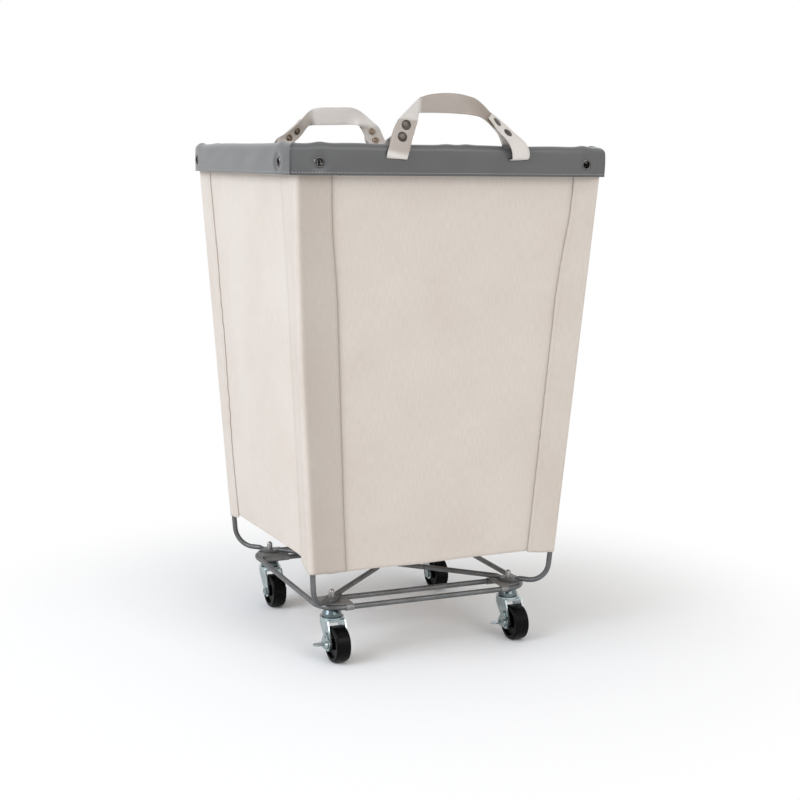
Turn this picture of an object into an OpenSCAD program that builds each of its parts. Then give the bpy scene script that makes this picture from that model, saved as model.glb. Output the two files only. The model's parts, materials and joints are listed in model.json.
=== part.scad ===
// Wheeled canvas laundry hamper: a tapered canvas bag hung from a square steel hoop,
// two crossing leg frames, a rod base and four swivel casters.
// Millimetres, +Z up, front face towards -Y, origin on the floor under the centre.
// Corners are named fl, fr, rl and rr: front left, front right, rear left, rear right.

/* [Rim] */
// Width and depth across the rim band
rim_w = 463; // [420:1:520]
// Height of the rim's top above the floor
rim_h = 698.5; // [600:0.5:800]
// Height of the band that hangs from the hoop
band_h = 39.5; // [36:0.5:50]
// Thickness of the vinyl band
band_t = 1.6; // [1.2:0.1:2]
// Distance from the band's outer face to its inner face
band_depth = 17.3; // [16.8:0.1:22]
// Corner radius of the band's outer face
band_corner_r = 30; // [26:1:34]
// Corner radius of the band's inner face
band_inner_corner_r = 15.4; // [13:0.1:17]
// Diameter of the steel hoop inside the band
hoop_d = 10; // [8:0.5:11]

/* [Canvas bag] */
// Width of the bag just under the band
bag_top_w = 438; // [410:1:439]
// Width of the bag at the sleeves' lower ends
bag_bottom_w = 370; // [340:1:400]
// Thickness of one layer of canvas
canvas_t = 1.5; // [1:0.1:1.8]
// Width of a corner sleeve on each face
sleeve_w = 50; // [44:1:70]
// Clear height from the crossing rods' axis to the sleeves' lower ends
sleeve_clear = 46.8; // [40:0.1:70]
// Height of the panels' lower edge above the sleeves' lower ends
hem_rise = 8; // [4:1:20]

/* [Steel rods] */
// Diameter of the leg, base and cross rods
rod_d = 7.5; // [6:0.5:8.5]
// Bend radius at the foot of each leg, on the rod's axis
leg_bend_r = 30; // [24:1:36]
// Length of the flattened eye at each caster stem
eye_len = 34; // [30:1:44]
// Width of the flattened eye
eye_w = 20; // [16:0.5:24]
// Thickness of the flattened eye
eye_t = 4; // [3:0.5:5]

/* [Base frame] */
// Distance between opposite base rails, axis to axis
base_w = 316; // [280:1:330]
// Corner radius of the base rail, on its axis
base_corner_r = 34; // [28:1:40]
// Distance from the base rails' axes to a caster's swivel axis
stem_inset = 22; // [20:1:26]
// Distance from the front rail to the cross rod, axis to axis
cross_inset = 44; // [38:1:52]
// Length of a corner plate along the rail
plate_len = 45; // [38:1:56]
// Thickness of a corner plate
plate_t = 1.3; // [0.8:0.1:2]
// Thickness of the washer between a corner plate and an eye
washer_t = 0.65; // [0.5:0.05:2]

/* [Handles] */
// Distance between the two slots of a handle
slot_span = 174; // [160:1:200]
// Width of the handle strap
strap_w = 26; // [22:1:30]
// Thickness of one layer of strap
strap_t = 1.6; // [1.2:0.1:2]
// Rise of the handle's top above the rim
handle_rise = 65.5; // [58:0.5:80]
// Distance between the strap's two upper bends
bend_span = 100; // [90:1:112]
// Diameter of a snap's cap
snap_d = 13.5; // [12:0.5:15]
// Distance between the two snaps of a strap end
snap_pitch = 16; // [15.5:0.5:18]

/* [Grommets] */
// Hole through a grommet
grommet_hole_d = 9.2; // [8:0.1:10]
// Outer diameter of a grommet's flange
grommet_flange_d = 15; // [14:0.5:16]
// Distance from the rim's outer face to a grommet's centre
grommet_inset = 41.5; // [40:0.5:50]
// Depth of a grommet's centre below the rim's top
grommet_drop = 23.5; // [23:0.5:26]

/* [Casters] */
// Wheel diameter
wheel_d = 50; // [46:1:60]
// Wheel width
wheel_w = 21; // [18:0.5:24]
// Distance from the swivel axis back to the wheel's axle
trail = 22; // [19:0.5:24]
// Angle that the casters have swivelled to at rest
swivel_rest = 2; // [0:1:20]
// Thickness of the fork's steel
fork_t = 2; // [1.5:0.5:3]
// Diameter of the fork's lower race flange
race_d = 33; // [31:0.5:36]
// Diameter of the fixed upper race cup
cup_d = 27; // [26:0.5:29]
// Height of the upper race cup
cup_h = 10.4; // [8.5:0.1:13]
// Diameter of the cup's top
cup_top_d = 22; // [19:0.5:25]
// Diameter of a swivel ball
ball_d = 3.4; // [2.8:0.1:3.8]
// Diameter of the threaded stem
stem_d = 6; // [5:0.5:7]
// Diameter of the axle bolt
axle_d = 6; // [5:0.5:7]
// Diameter of the wheel bush
bush_d = 9; // [8.5:0.5:11]

/* [Brakes] */
// Thickness of the brake lever
lever_t = 2; // [1.5:0.5:3]
// How far the lever's tab stands out to the side
tab_len = 14; // [10:1:20]
// Distance from the axle to the tab's centre
tab_reach = 15; // [13:1:17]

/* [Clearances] */
// Radial running clearance of pins in their bores
run_gap = 0.08; // [0.02:0.01:0.1]
// Gap between pieces that turn past each other
turn_gap = 0.4; // [0.3:0.05:0.6]
// Gap between laid layers of cloth or vinyl
lap_gap = 0.15; // [0.1:0.05:0.3]
// Gap left for the weld or paint between rods
weld_gap = 0.05; // [0.02:0.01:0.1]

/* [Hidden] */
$fn = 64;

// cut bodies run this far past the faces they cut
past = 1;

// corner signs
FL = [-1, -1];
FR = [1, -1];
RL = [-1, 1];
RR = [1, 1];
CORNERS = [FL, FR, RL, RR];

// caster stack, from the floor up
wheel_r = wheel_d / 2;
crown_gap = 3.8;
crown_t = 2.5;
crown_z = wheel_d + crown_gap;
lower_race_t = 2.5;
cup_z = crown_z + crown_t + lower_race_t + turn_gap;
cup_straight = 4.2;
collar_d = 17;
collar_h = 9.6;
plate_z = cup_z + cup_h + collar_h;

// rod levels
rod_r = rod_d / 2;
// a corner plate lies this far above the rods, and its rolled edges are thinner than it
plate_lift = 0.1;
roll_thinner = 0.3;
base_z = plate_z - plate_lift - weld_gap - rod_r;
// an eye is pressed this far below the axis of its rod
eye_drop = 1.9;
eye_z = plate_z + plate_t + washer_t + eye_t / 2;
leg_z = eye_z + eye_drop;
eye_top_z = eye_z + eye_t / 2;
eye_shoulder_in = 6;
eye_shoulder = eye_len / 2 - eye_shoulder_in;
eye_taper = 6;
eye_end_r = eye_t / 2 - 0.2;
step_bend_r = 3 * rod_d;
step_rise = rod_d + weld_gap;
step_angle = acos(1 - step_rise / 2 / step_bend_r);
step_flat = rod_d;
// bent lengths: radius thinned by bending, straight lap over a bend, bend end cut short (deg)
bent_r = rod_r - 0.1;
bend_lap = 0.5;
bend_short = 1;
base_half = base_w / 2;
cross_y = base_half - cross_inset;
bolt_half = base_half - stem_inset;

// band and hoop
rim_half = rim_w / 2;
band_z = rim_h - band_h;
band_inner_half = rim_half - band_depth;
hoop_half = rim_half - band_depth / 2;
hoop_corner_r = band_corner_r - band_depth / 2;
hoop_z = rim_h - band_t - lap_gap - hoop_d / 2;
layer_drop = 1.5;
layer_top_z = hoop_z - hoop_d / 2 - layer_drop;

// taper of the bag: faces lean by face_lean, corner edges by edge_lean
sleeve_z = leg_z + sleeve_clear;
hem_z = sleeve_z + hem_rise;
bag_bottom_half = bag_bottom_w / 2;
taper = (bag_top_w - bag_bottom_w) / 2 / (band_z - sleeve_z);
face_lean = atan(taper);
edge_lean = atan(taper * sqrt(2));
rod_fit = 0.1;
pocket_r = rod_r + rod_fit;
pocket_in = canvas_t + pocket_r;
pocket_block = 2 * canvas_t + 2 * pocket_r;
function bag_half(z) = bag_bottom_half + taper * (z - sleeve_z);

// a leg's axis in the plane of its diagonal
function leg_d(z) = sqrt(2) * bag_bottom_half - sqrt(2) * pocket_in / cos(edge_lean)
    + (z - sleeve_z) * tan(edge_lean);
bend_turn = 90 - edge_lean;
bend_tangent = leg_bend_r * tan(bend_turn / 2);
bend_end_d = leg_d(leg_z) - bend_tangent;
leg_top_z = hoop_z - hoop_d / 2 - weld_gap;
eye_d = sqrt(2) * bolt_half;

// handles
pivot_rise = 5.5;
pivot_z = rim_h + pivot_rise;
hoop_over = rim_h + lap_gap;
slot_drop = 17.5;
slot_z = rim_h - slot_drop;
slot_room = 0.8;
slot_h = strap_t + 2 * slot_room;
slot_side_room = 2;
slot_w = strap_w + 2 * slot_side_room;
strap_r = strap_w / 2;
loop_out = rim_half + lap_gap + strap_t;
loop_in = band_inner_half - lap_gap - strap_t;
bend_z = rim_h + handle_rise - strap_r;
foot_inset = 7;
foot_x = slot_span / 2 - foot_inset;
bend_x = bend_span / 2;
strap_lean = atan2(foot_x - bend_x, bend_z - pivot_z);
snap_first = 8;
tail_margin = 3;
tail_len = snap_first + snap_pitch + snap_d / 2 + tail_margin;
tail_inset = 0.4;
snap_post_r = 2;
snap_cap_h = 1.5;
snap_cap_edge = 1.2;
snap_stud_d = 10;
snap_stud_h = 1.2;
snap_socket_r = 2.2;

// grommets
grommet_at = rim_half - grommet_inset;
grommet_z = rim_h - grommet_drop;
grommet_r = grommet_flange_d / 2;
grommet_wall = 0.8;
grommet_bore_r = grommet_hole_d / 2;
grommet_barrel_r = grommet_bore_r + grommet_wall;
grommet_fit = 0.1;
layer_gap = 0.3;
layers_out = bag_half(grommet_z) + grommet_barrel_r * taper + layer_gap;

// caster pieces
king_r = 5;
king_head_r = 7.5;
king_head_t = 1.7;
ball_ring_inset = 3.2;
ball_ring_r = cup_d / 2 - ball_ring_inset;
ball_count = 14;
wheel_side_gap = 1.2;
cheek_in = wheel_w / 2 + wheel_side_gap;
cheek_out = cheek_in + fork_t;
cheek_eye_r = 9;
cheek_front = 17;
cheek_rear = 9.5;
cheek_drop = 8;
axle_r = axle_d / 2;
axle_head_r = 5.6;
axle_head_t = 3.6;
axle_head_wall = 2.4;
axle_head_dish = 0.8;
axle_end = 1;
bush_r = bush_d / 2;
lever_in = cheek_out + turn_gap;
lever_out = lever_in + lever_t;
cap_r = 4.1;
cap_h = 7.2;
cap_foot_r = 5.2;
cap_foot_t = 1.4;
stem_in_cap = 8;
washer_wall = 3.5;

// ---- shared shapes ----

module rounded_square(half, r) {
    square([2 * half, 2 * (half - r)], center = true);
    square([2 * (half - r), 2 * half], center = true);
    for (c = CORNERS) translate(c * (half - r)) circle(r);
}

// sweeps a profile (x outwards, y up) around a square path with round corners
module square_ring(half, r, z) {
    for (a = [0 : 90 : 270]) rotate([0, 0, a]) {
        translate([half - r, half - r, z]) rotate_extrude(angle = 90) translate([r, 0]) children();
        translate([half, half - r, z]) rotate([90, 0, 0]) linear_extrude(2 * (half - r)) children();
    }
}

module along_x(from, to, r) {
    translate([from, 0, 0]) rotate([0, 90, 0]) cylinder(h = to - from, r = r);
}

// quarter turn that takes the rear right corner to corner c
function corner_turn(c) = c == RR ? 0 : c == RL ? 90 : c == FL ? 180 : 270;

// frame on a bag corner's outer edge, with +Z up the leaning edge and the bag towards -X, -Y
module on_corner_edge(c) {
    rotate([0, 0, corner_turn(c)])
        translate([bag_bottom_half, bag_bottom_half, sleeve_z])
            rotate(a = edge_lean, v = [-1, 1, 0]) children();
}

// frame on the middle of a face's lower end, with +Z up the leaning face and the bag towards -Y
module on_face(turn) {
    rotate([0, 0, turn]) translate([0, bag_bottom_half, sleeve_z]) rotate([-face_lean, 0, 0]) children();
}

module slab(low, high) {
    translate([-rim_w, -rim_w, low]) cube([2 * rim_w, 2 * rim_w, high - low]);
}

// the eight grommet axes: the child is drawn pointing along +Y at the rear face
module at_grommets() {
    for (turn = [0 : 90 : 270], x = [-grommet_at, grommet_at])
        rotate([0, 0, turn]) translate([x, 0, grommet_z]) children();
}

module along_y(from, to, r) {
    translate([0, from, 0]) rotate([-90, 0, 0]) cylinder(h = to - from, r = r);
}

module grommet_holes() {
    at_grommets() along_y(band_inner_half - 2 * past, rim_half + 2 * past, grommet_barrel_r + grommet_fit);
}

// handle slots through the front and rear of the band and the cloth behind it
module handle_slots() {
    for (turn = [0, 180], x = [-slot_span / 2, slot_span / 2])
        rotate([0, 0, turn])
            translate([x - slot_w / 2, loop_in - past, slot_z - slot_h / 2])
                cube([slot_w, loop_out - loop_in + 2 * past, slot_h]);
}

// ---- rim ----

module top_hoop() {
    color("#77797a") square_ring(hoop_half, hoop_corner_r, hoop_z) circle(hoop_d / 2);
}

module rim_band() {
    channel_out = rim_half - band_t;
    channel_in = band_inner_half + band_t;
    color("#757877") difference() {
        translate([0, 0, band_z]) linear_extrude(band_h) rounded_square(rim_half, band_corner_r);
        translate([0, 0, band_z - past]) linear_extrude(band_h - band_t + past) difference() {
            rounded_square(channel_out, band_corner_r - band_t);
            rounded_square(channel_in, band_inner_corner_r + band_t);
        }
        translate([0, 0, band_z - past])
            linear_extrude(band_h + 2 * past) rounded_square(band_inner_half, band_inner_corner_r);
        grommet_holes();
        handle_slots();
    }
}

// ---- canvas bag ----

// face panel between two corner pockets, one canvas layer behind the sleeves
module side_panel(turn) {
    hem = (hem_z - sleeve_z) / cos(face_lean);
    top = (layer_top_z - sleeve_z) / cos(face_lean);
    edge = bag_bottom_half - pocket_block - lap_gap;
    grow = taper * cos(face_lean);
    color("#ddd5cc") difference() {
        on_face(turn) translate([0, -canvas_t - lap_gap, 0]) rotate([90, 0, 0]) linear_extrude(canvas_t)
            polygon([
                [-edge - grow * hem, hem], [edge + grow * hem, hem],
                [edge + grow * top, top], [-edge - grow * top, top]
            ]);
        grommet_holes();
        handle_slots();
    }
}

module bottom_panel() {
    half = bag_half(hem_z) - (2 * canvas_t + 2 * lap_gap) / cos(face_lean);
    notch = bag_half(hem_z) - pocket_block - lap_gap;
    color("#ddd5cc") translate([0, 0, hem_z]) linear_extrude(canvas_t) {
        square([2 * half, 2 * notch], center = true);
        square([2 * notch, 2 * half], center = true);
    }
}

// folded canvas strip along a bag corner, with a pocket for the leg up to the band
module corner_sleeve(c) {
    length = (layer_top_z - sleeve_z) / cos(edge_lean) + 2 * sleeve_w;
    color("#e0d9d1") difference() {
        intersection() {
            on_corner_edge(c) translate([0, 0, -sleeve_w]) linear_extrude(length) {
                translate([-pocket_in, -pocket_in]) circle(pocket_in);
                translate([-sleeve_w, -canvas_t]) square([sleeve_w - pocket_in, canvas_t]);
                translate([-canvas_t, -sleeve_w]) square([canvas_t, sleeve_w - pocket_in]);
            }
            slab(sleeve_z, layer_top_z);
        }
        on_corner_edge(c) translate([-pocket_in, -pocket_in, -sleeve_w]) cylinder(h = length, r = pocket_r);
        // above the band's lower edge the pocket is open towards the bag
        intersection() {
            on_corner_edge(c) translate([-pocket_block - past, -pocket_block - past, 0])
                cube([pocket_block + past - canvas_t - pocket_r, pocket_block + past - canvas_t - pocket_r, length]);
            slab(band_z - past, rim_h);
        }
        grommet_holes();
    }
}

// eyelet: a flange on each side of the layers it clamps and a barrel through them
module eyelet(from, to) {
    difference() {
        union() {
            along_y(to, to + grommet_wall, grommet_r);
            along_y(from - grommet_wall, from, grommet_r);
            along_y(from - grommet_wall, to + grommet_wall, grommet_barrel_r);
        }
        along_y(from - grommet_wall - past, to + grommet_wall + past, grommet_bore_r);
    }
}

module outer_grommets() {
    color("#b9bcc0") at_grommets() eyelet(rim_half - band_t, rim_half);
}

module inner_grommets() {
    color("#b9bcc0") at_grommets() eyelet(band_inner_half, layers_out);
}

// ---- handles ----

// upright strap frame: +Y is out of the bag, the origin is on the pivot line
module on_handle(turn) {
    rotate([0, 0, turn]) translate([0, hoop_half, pivot_z]) children();
}

// x of a leaning strap edge at height y, the edge being offset from the strap's centre line
function edge_x(y, offset) = foot_x + offset / cos(strap_lean) - y * tan(strap_lean);

// mitred outline of the strap, seen from the front
module strap_2d() {
    rise = bend_z - pivot_z;
    top = rise + strap_r;
    low = rise - strap_r;
    polygon([
        [edge_x(turn_gap, strap_r), turn_gap], [edge_x(top, strap_r), top],
        [-edge_x(top, strap_r), top], [-edge_x(turn_gap, strap_r), turn_gap],
        [-edge_x(turn_gap, -strap_r), turn_gap], [-edge_x(low, -strap_r), low],
        [edge_x(low, -strap_r), low], [edge_x(turn_gap, -strap_r), turn_gap]
    ]);
}

// doubled end of the strap, set in a little from the strap's edges
module tail_2d() {
    half = strap_r - tail_inset;
    foot = turn_gap + tail_inset;
    end = [foot_x - tail_len * sin(strap_lean), tail_len * cos(strap_lean)];
    across = half * [cos(strap_lean), sin(strap_lean)];
    polygon([[edge_x(foot, half), foot], end + across, end - across, [edge_x(foot, -half), foot]]);
}

module snap_places(turn) {
    on_handle(turn) for (side = [-1, 1], i = [0, 1])
        mirror([side < 0 ? 1 : 0, 0, 0])
            translate([foot_x, 0, 0]) rotate([0, -strap_lean, 0])
                translate([0, 0, snap_first + i * snap_pitch]) children();
}

module handle(turn) {
    color("#e6ded6") difference() {
        on_handle(turn) {
            rotate([90, 0, 0]) linear_extrude(strap_t) strap_2d();
            translate([0, strap_t, 0]) rotate([90, 0, 0]) linear_extrude(strap_t)
                for (side = [0, 1]) mirror([side, 0]) tail_2d();
        }
        snap_places(turn) along_y(-strap_t - past, strap_t + past, snap_post_r + run_gap);
    }
}

// strap ends round the rim: through the slots, under the hoop and over the band
module handle_loops(turn) {
    low = slot_z - strap_t / 2;
    color("#e6ded6") rotate([0, 0, turn]) for (x = [-slot_span / 2, slot_span / 2])
        translate([x - strap_r, 0, 0]) difference() {
            translate([0, loop_in, low]) cube([strap_w, loop_out - loop_in, hoop_over + strap_t - low]);
            translate([-past, loop_in + strap_t, low + strap_t])
                cube([strap_w + 2 * past, loop_out - loop_in - 2 * strap_t, hoop_over - low - strap_t]);
        }
}

module snap_caps(turn) {
    color("#55565a") snap_places(turn) {
        along_y(strap_t, strap_t + snap_cap_h / 2, snap_d / 2);
        along_y(strap_t, strap_t + snap_cap_h, snap_d / 2 - snap_cap_edge);
        along_y(0, strap_t, snap_post_r);
    }
}

module snap_studs(turn) {
    color("#b7a68c") snap_places(turn) {
        difference() {
            along_y(-strap_t - snap_stud_h, -strap_t, snap_stud_d / 2);
            along_y(-strap_t - snap_stud_h - past, -strap_t - snap_stud_h / 3, snap_socket_r);
        }
        along_y(-strap_t, 0, snap_post_r);
    }
}

// ---- leg frames ----

// lens-shaped eye pressed flat in the rod
module eye() {
    lens_r = (eye_len * eye_len + eye_w * eye_w) / 4 / eye_w;
    translate([eye_d, 0, eye_z - eye_t / 2]) linear_extrude(eye_t) intersection() {
        translate([0, lens_r - eye_w / 2]) circle(lens_r);
        translate([0, eye_w / 2 - lens_r]) circle(lens_r);
    }
}

// half of a leg frame in the XZ plane: leg, bend, eye and the rod to the crossing.
// The rod narrows into the eye on both sides of it. Bends are drawn thinner by the bending
// and each straight runs a little way over them.
module half_leg(steps_over) {
    outer = eye_d + eye_shoulder;
    inner = eye_d - eye_shoulder;
    leg_len = (leg_top_z - leg_z) / cos(edge_lean);
    straight_end = steps_over ? step_flat + 2 * step_bend_r * sin(step_angle) - bend_lap : 0;
    translate([leg_d(leg_z), 0, leg_z]) rotate([0, edge_lean, 0])
        translate([0, 0, bend_tangent - bend_lap]) cylinder(h = leg_len - bend_tangent + bend_lap, r = rod_r);
    translate([bend_end_d, 0, leg_z + leg_bend_r]) rotate([90, 0, 0]) rotate([0, 0, -90])
        rotate_extrude(angle = bend_turn) translate([leg_bend_r, 0]) circle(bent_r);
    translate([outer + eye_taper, 0, leg_z]) rotate([0, 90, 0])
        cylinder(h = bend_end_d + bend_lap - outer - eye_taper, r = rod_r);
    translate([outer, 0, leg_z]) rotate([0, 90, 0]) cylinder(h = eye_taper, r1 = eye_end_r, r2 = rod_r);
    translate([inner, 0, leg_z]) rotate([0, -90, 0]) cylinder(h = eye_taper, r1 = eye_end_r, r2 = rod_r);
    translate([inner - eye_taper, 0, leg_z]) rotate([0, -90, 0])
        cylinder(h = inner - eye_taper - straight_end, r = rod_r);
    eye();
}

// the raised middle of the upper frame: a short flat and two reverse bends each side,
// with a short straight between the two bends
module step_over() {
    flat_half = step_flat + bend_lap;
    translate([-flat_half, 0, leg_z + step_rise]) rotate([0, 90, 0]) cylinder(h = 2 * flat_half, r = rod_r);
    for (half = [0, 180]) rotate([0, 0, half]) {
        translate([step_flat, 0, leg_z + step_rise - step_bend_r]) rotate([90, 0, 0])
            rotate([0, 0, 90 - step_angle + bend_short]) rotate_extrude(angle = step_angle - bend_short)
                translate([step_bend_r, 0]) circle(bent_r);
        translate([step_flat + 2 * step_bend_r * sin(step_angle), 0, leg_z + step_bend_r]) rotate([90, 0, 0])
            rotate([0, 0, -90 - step_angle + bend_short]) rotate_extrude(angle = step_angle - bend_short)
                translate([step_bend_r, 0]) circle(bent_r);
        translate([step_flat + step_bend_r * sin(step_angle), 0, leg_z + step_rise / 2])
            rotate([0, 90 + step_angle, 0]) cylinder(h = 3 * bend_lap, r = rod_r, center = true);
    }
}

module leg_frame(turn, steps_over) {
    color("#77797a") rotate([0, 0, turn]) difference() {
        union() {
            for (half = [0, 180]) rotate([0, 0, half]) half_leg(steps_over);
            if (steps_over) step_over();
        }
        for (side = [-1, 1]) translate([side * eye_d, 0, leg_z - rod_d])
            cylinder(h = 2 * rod_d, r = stem_d / 2 + run_gap);
    }
}

module leg_frame_lower() {
    leg_frame(-45, false);
}

module leg_frame_upper() {
    leg_frame(45, true);
}

// ---- base frame ----

module base_hoop() {
    color("#77797a") square_ring(base_half, base_corner_r, base_z) circle(rod_r);
}

module cross_rod(side) {
    end = base_half - rod_r - weld_gap;
    color("#77797a") translate([0, side * cross_y, base_z]) along_x(-end, end, rod_r);
}

// stamped plate on top of the rods, its two long edges rolled round the rail and the cross rod
module corner_plate(c) {
    roll_in = rod_r + weld_gap;
    roll_out = roll_in + plate_t - roll_thinner;
    inner = base_half - plate_len;
    corner = base_half - base_corner_r;
    cross_end = base_half - rod_r - 2 * plate_t;
    color("#707274") mirror([c[0] < 0 ? 1 : 0, 0, 0]) mirror([0, c[1] < 0 ? 1 : 0, 0]) difference() {
        union() {
            translate([0, 0, plate_z]) linear_extrude(plate_t) intersection() {
                rounded_square(base_half, base_corner_r);
                translate([inner, cross_y]) square(base_half);
            }
            translate([0, base_half, base_z]) along_x(inner, corner, roll_out);
            translate([0, cross_y, base_z]) along_x(inner, cross_end, roll_out);
        }
        translate([0, base_half, base_z]) along_x(inner - past, corner + past, roll_in);
        translate([0, cross_y, base_z]) along_x(inner - past, cross_end + past, roll_in);
        translate([bolt_half, bolt_half, plate_z - past]) cylinder(h = plate_t + 2 * past, r = stem_d / 2 + run_gap);
    }
}

// ---- caster hardware fixed to the frame ----

module at_stem(c) {
    translate([c[0] * bolt_half, c[1] * bolt_half, 0]) children();
}

// threaded stem, collar, upper race cup and the riveted king pin in one piece
module caster_stem(c) {
    stem_top = eye_top_z + stem_in_cap;
    race_z = cup_z - turn_gap + ball_d + 2 * run_gap;
    skirt_in = ball_ring_r + ball_d / 2 + run_gap;
    color("#c3cad0") at_stem(c) difference() {
        union() {
            translate([0, 0, cup_z]) cylinder(h = cup_straight, r = cup_d / 2);
            translate([0, 0, cup_z + cup_straight]) cylinder(h = cup_h - cup_straight, r1 = cup_d / 2, r2 = cup_top_d / 2);
            translate([0, 0, plate_z - collar_h]) cylinder(h = collar_h, r = collar_d / 2);
            translate([0, 0, plate_z - collar_h]) cylinder(h = stem_top - plate_z + collar_h, r = stem_d / 2);
        }
        translate([0, 0, cup_z - past]) difference() {
            cylinder(h = race_z - cup_z + past, r = skirt_in);
            cylinder(h = race_z - cup_z + past, r = king_r);
        }
        translate([0, 0, cup_z - past]) cylinder(h = past, r = cup_d);
    }
    color("#c3cad0") at_stem(c) {
        translate([0, 0, crown_z - turn_gap]) cylinder(h = cup_z + past - crown_z + turn_gap, r = king_r);
        translate([0, 0, crown_z - turn_gap - king_head_t]) cylinder(h = king_head_t, r = king_head_r);
    }
}

module stem_spacers() {
    color("#9a9fa3") for (c = CORNERS) at_stem(c) translate([0, 0, plate_z + plate_t]) difference() {
        cylinder(h = washer_t, r = stem_d / 2 + washer_wall);
        translate([0, 0, -past]) cylinder(h = washer_t + 2 * past, r = stem_d / 2 + run_gap);
    }
}

// closed cap pressed on a stem's end: a foot, a slim barrel and a dome
module stem_cap_nuts() {
    color("#c3cad0") for (c = CORNERS) at_stem(c) translate([0, 0, eye_top_z]) difference() {
        union() {
            cylinder(h = cap_foot_t, r = cap_foot_r);
            cylinder(h = cap_h, r = cap_r);
            translate([0, 0, cap_h]) intersection() {
                sphere(cap_r);
                cylinder(h = cap_r, r = 2 * cap_r);
            }
        }
        translate([0, 0, -past]) cylinder(h = past + stem_in_cap + run_gap, r = stem_d / 2 + run_gap);
    }
}

// ---- swivel part of a caster: the swivel axis is local Z, the wheel trails towards local -Y ----

module at_caster(c) {
    at_stem(c) rotate([0, 0, swivel_rest]) children();
}

module at_axle() {
    translate([0, -trail, wheel_r]) children();
}

// point where the line from p touches a circle about centre
function tangent(p, centre, r, side) =
    let (d = p - centre, b = atan2(d[1], d[0]), a = side * acos(r / norm(d)))
    centre + r * [cos(b + a), sin(b + a)];

// side view of a cheek, X as depth and Y as height
module cheek_2d() {
    axle = [-trail, wheel_r];
    top = crown_z + crown_t;
    front = [-cheek_front, top];
    rear = [cheek_rear, top - cheek_drop];
    translate(axle) circle(cheek_eye_r);
    polygon([
        front, [cheek_rear, top], rear,
        tangent(rear, axle, cheek_eye_r, -1), axle, tangent(front, axle, cheek_eye_r, 1)
    ]);
}

module caster_fork(c) {
    color("#b9c2c9") at_caster(c) difference() {
        union() {
            translate([0, 0, crown_z]) linear_extrude(crown_t) {
                intersection() {
                    circle(race_d / 2);
                    square([2 * cheek_out, race_d], center = true);
                }
                translate([-cheek_out, -cheek_front]) square([2 * cheek_out, cheek_front + cheek_rear]);
            }
            translate([0, 0, crown_z + crown_t]) cylinder(h = lower_race_t, r = race_d / 2);
            for (x = [-cheek_out, cheek_in])
                translate([x, 0, 0]) rotate([90, 0, 90]) linear_extrude(fork_t) cheek_2d();
        }
        translate([0, 0, crown_z - past])
            cylinder(h = crown_t + lower_race_t + 2 * past, r = king_r + run_gap);
        at_axle() along_x(-cheek_out - past, cheek_out + past, axle_r + run_gap);
    }
}

module swivel_balls(c) {
    color("#d5d8da") at_caster(c)
        translate([0, 0, crown_z + crown_t + lower_race_t + run_gap + ball_d / 2])
            for (i = [0 : ball_count - 1]) rotate([0, 0, i * 360 / ball_count])
                translate([ball_ring_r, 0, 0]) sphere(ball_d / 2, $fn = 32);
}

// half section of the wheel: X is the radius, Y runs along the axle
module wheel_2d() {
    edge_r = 3;
    hub_wall = 3.6;
    hub_r = bush_r + hub_wall;
    tread = 6;
    dish_r = wheel_r - tread;
    dish = 3.2;
    half = wheel_w / 2;
    bore = bush_r + run_gap;
    difference() {
        union() {
            translate([bore, -half]) square([wheel_r - edge_r - bore, wheel_w]);
            translate([bore, edge_r - half]) square([wheel_r - bore, wheel_w - 2 * edge_r]);
            for (s = [-1, 1]) translate([wheel_r - edge_r, s * (half - edge_r)]) circle(edge_r);
        }
        for (s = [-1, 1]) translate([hub_r, s > 0 ? half - dish : -half - past])
            square([dish_r - hub_r, dish + past]);
    }
}

module wheel(c) {
    color("#141415") at_caster(c) at_axle() rotate([0, 90, 0]) rotate_extrude() wheel_2d();
}

module wheel_bush(c) {
    half = cheek_in - weld_gap;
    color("#c9c2a8") at_caster(c) at_axle() difference() {
        along_x(-half, half, bush_r);
        along_x(-half - past, half + past, axle_r + run_gap);
    }
}

// axle bolt with its nut; it also carries the brake lever where there is one
module axle(c, braked) {
    head = braked ? lever_out + turn_gap : cheek_out + weld_gap;
    tail = cheek_out + weld_gap;
    color("#c3cad0") at_caster(c) at_axle() {
        along_x(-head - past, tail + axle_head_t + axle_end, axle_r);
        difference() {
            along_x(-head - axle_head_t, -head, axle_head_r);
            along_x(-head - axle_head_t - past, -head - axle_head_t + axle_head_dish, axle_head_r - axle_head_wall);
        }
        translate([tail, 0, 0]) difference() {
            rotate([0, 90, 0]) cylinder(h = axle_head_t, r = axle_head_r, $fn = 6);
            along_x(-past, axle_head_t + past, axle_r + run_gap);
        }
    }
}

module bar_2d(from, to, w) {
    d = to - from;
    translate(from) rotate(atan2(d[1], d[0])) translate([0, -w / 2]) square([norm(d), w]);
}

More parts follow.
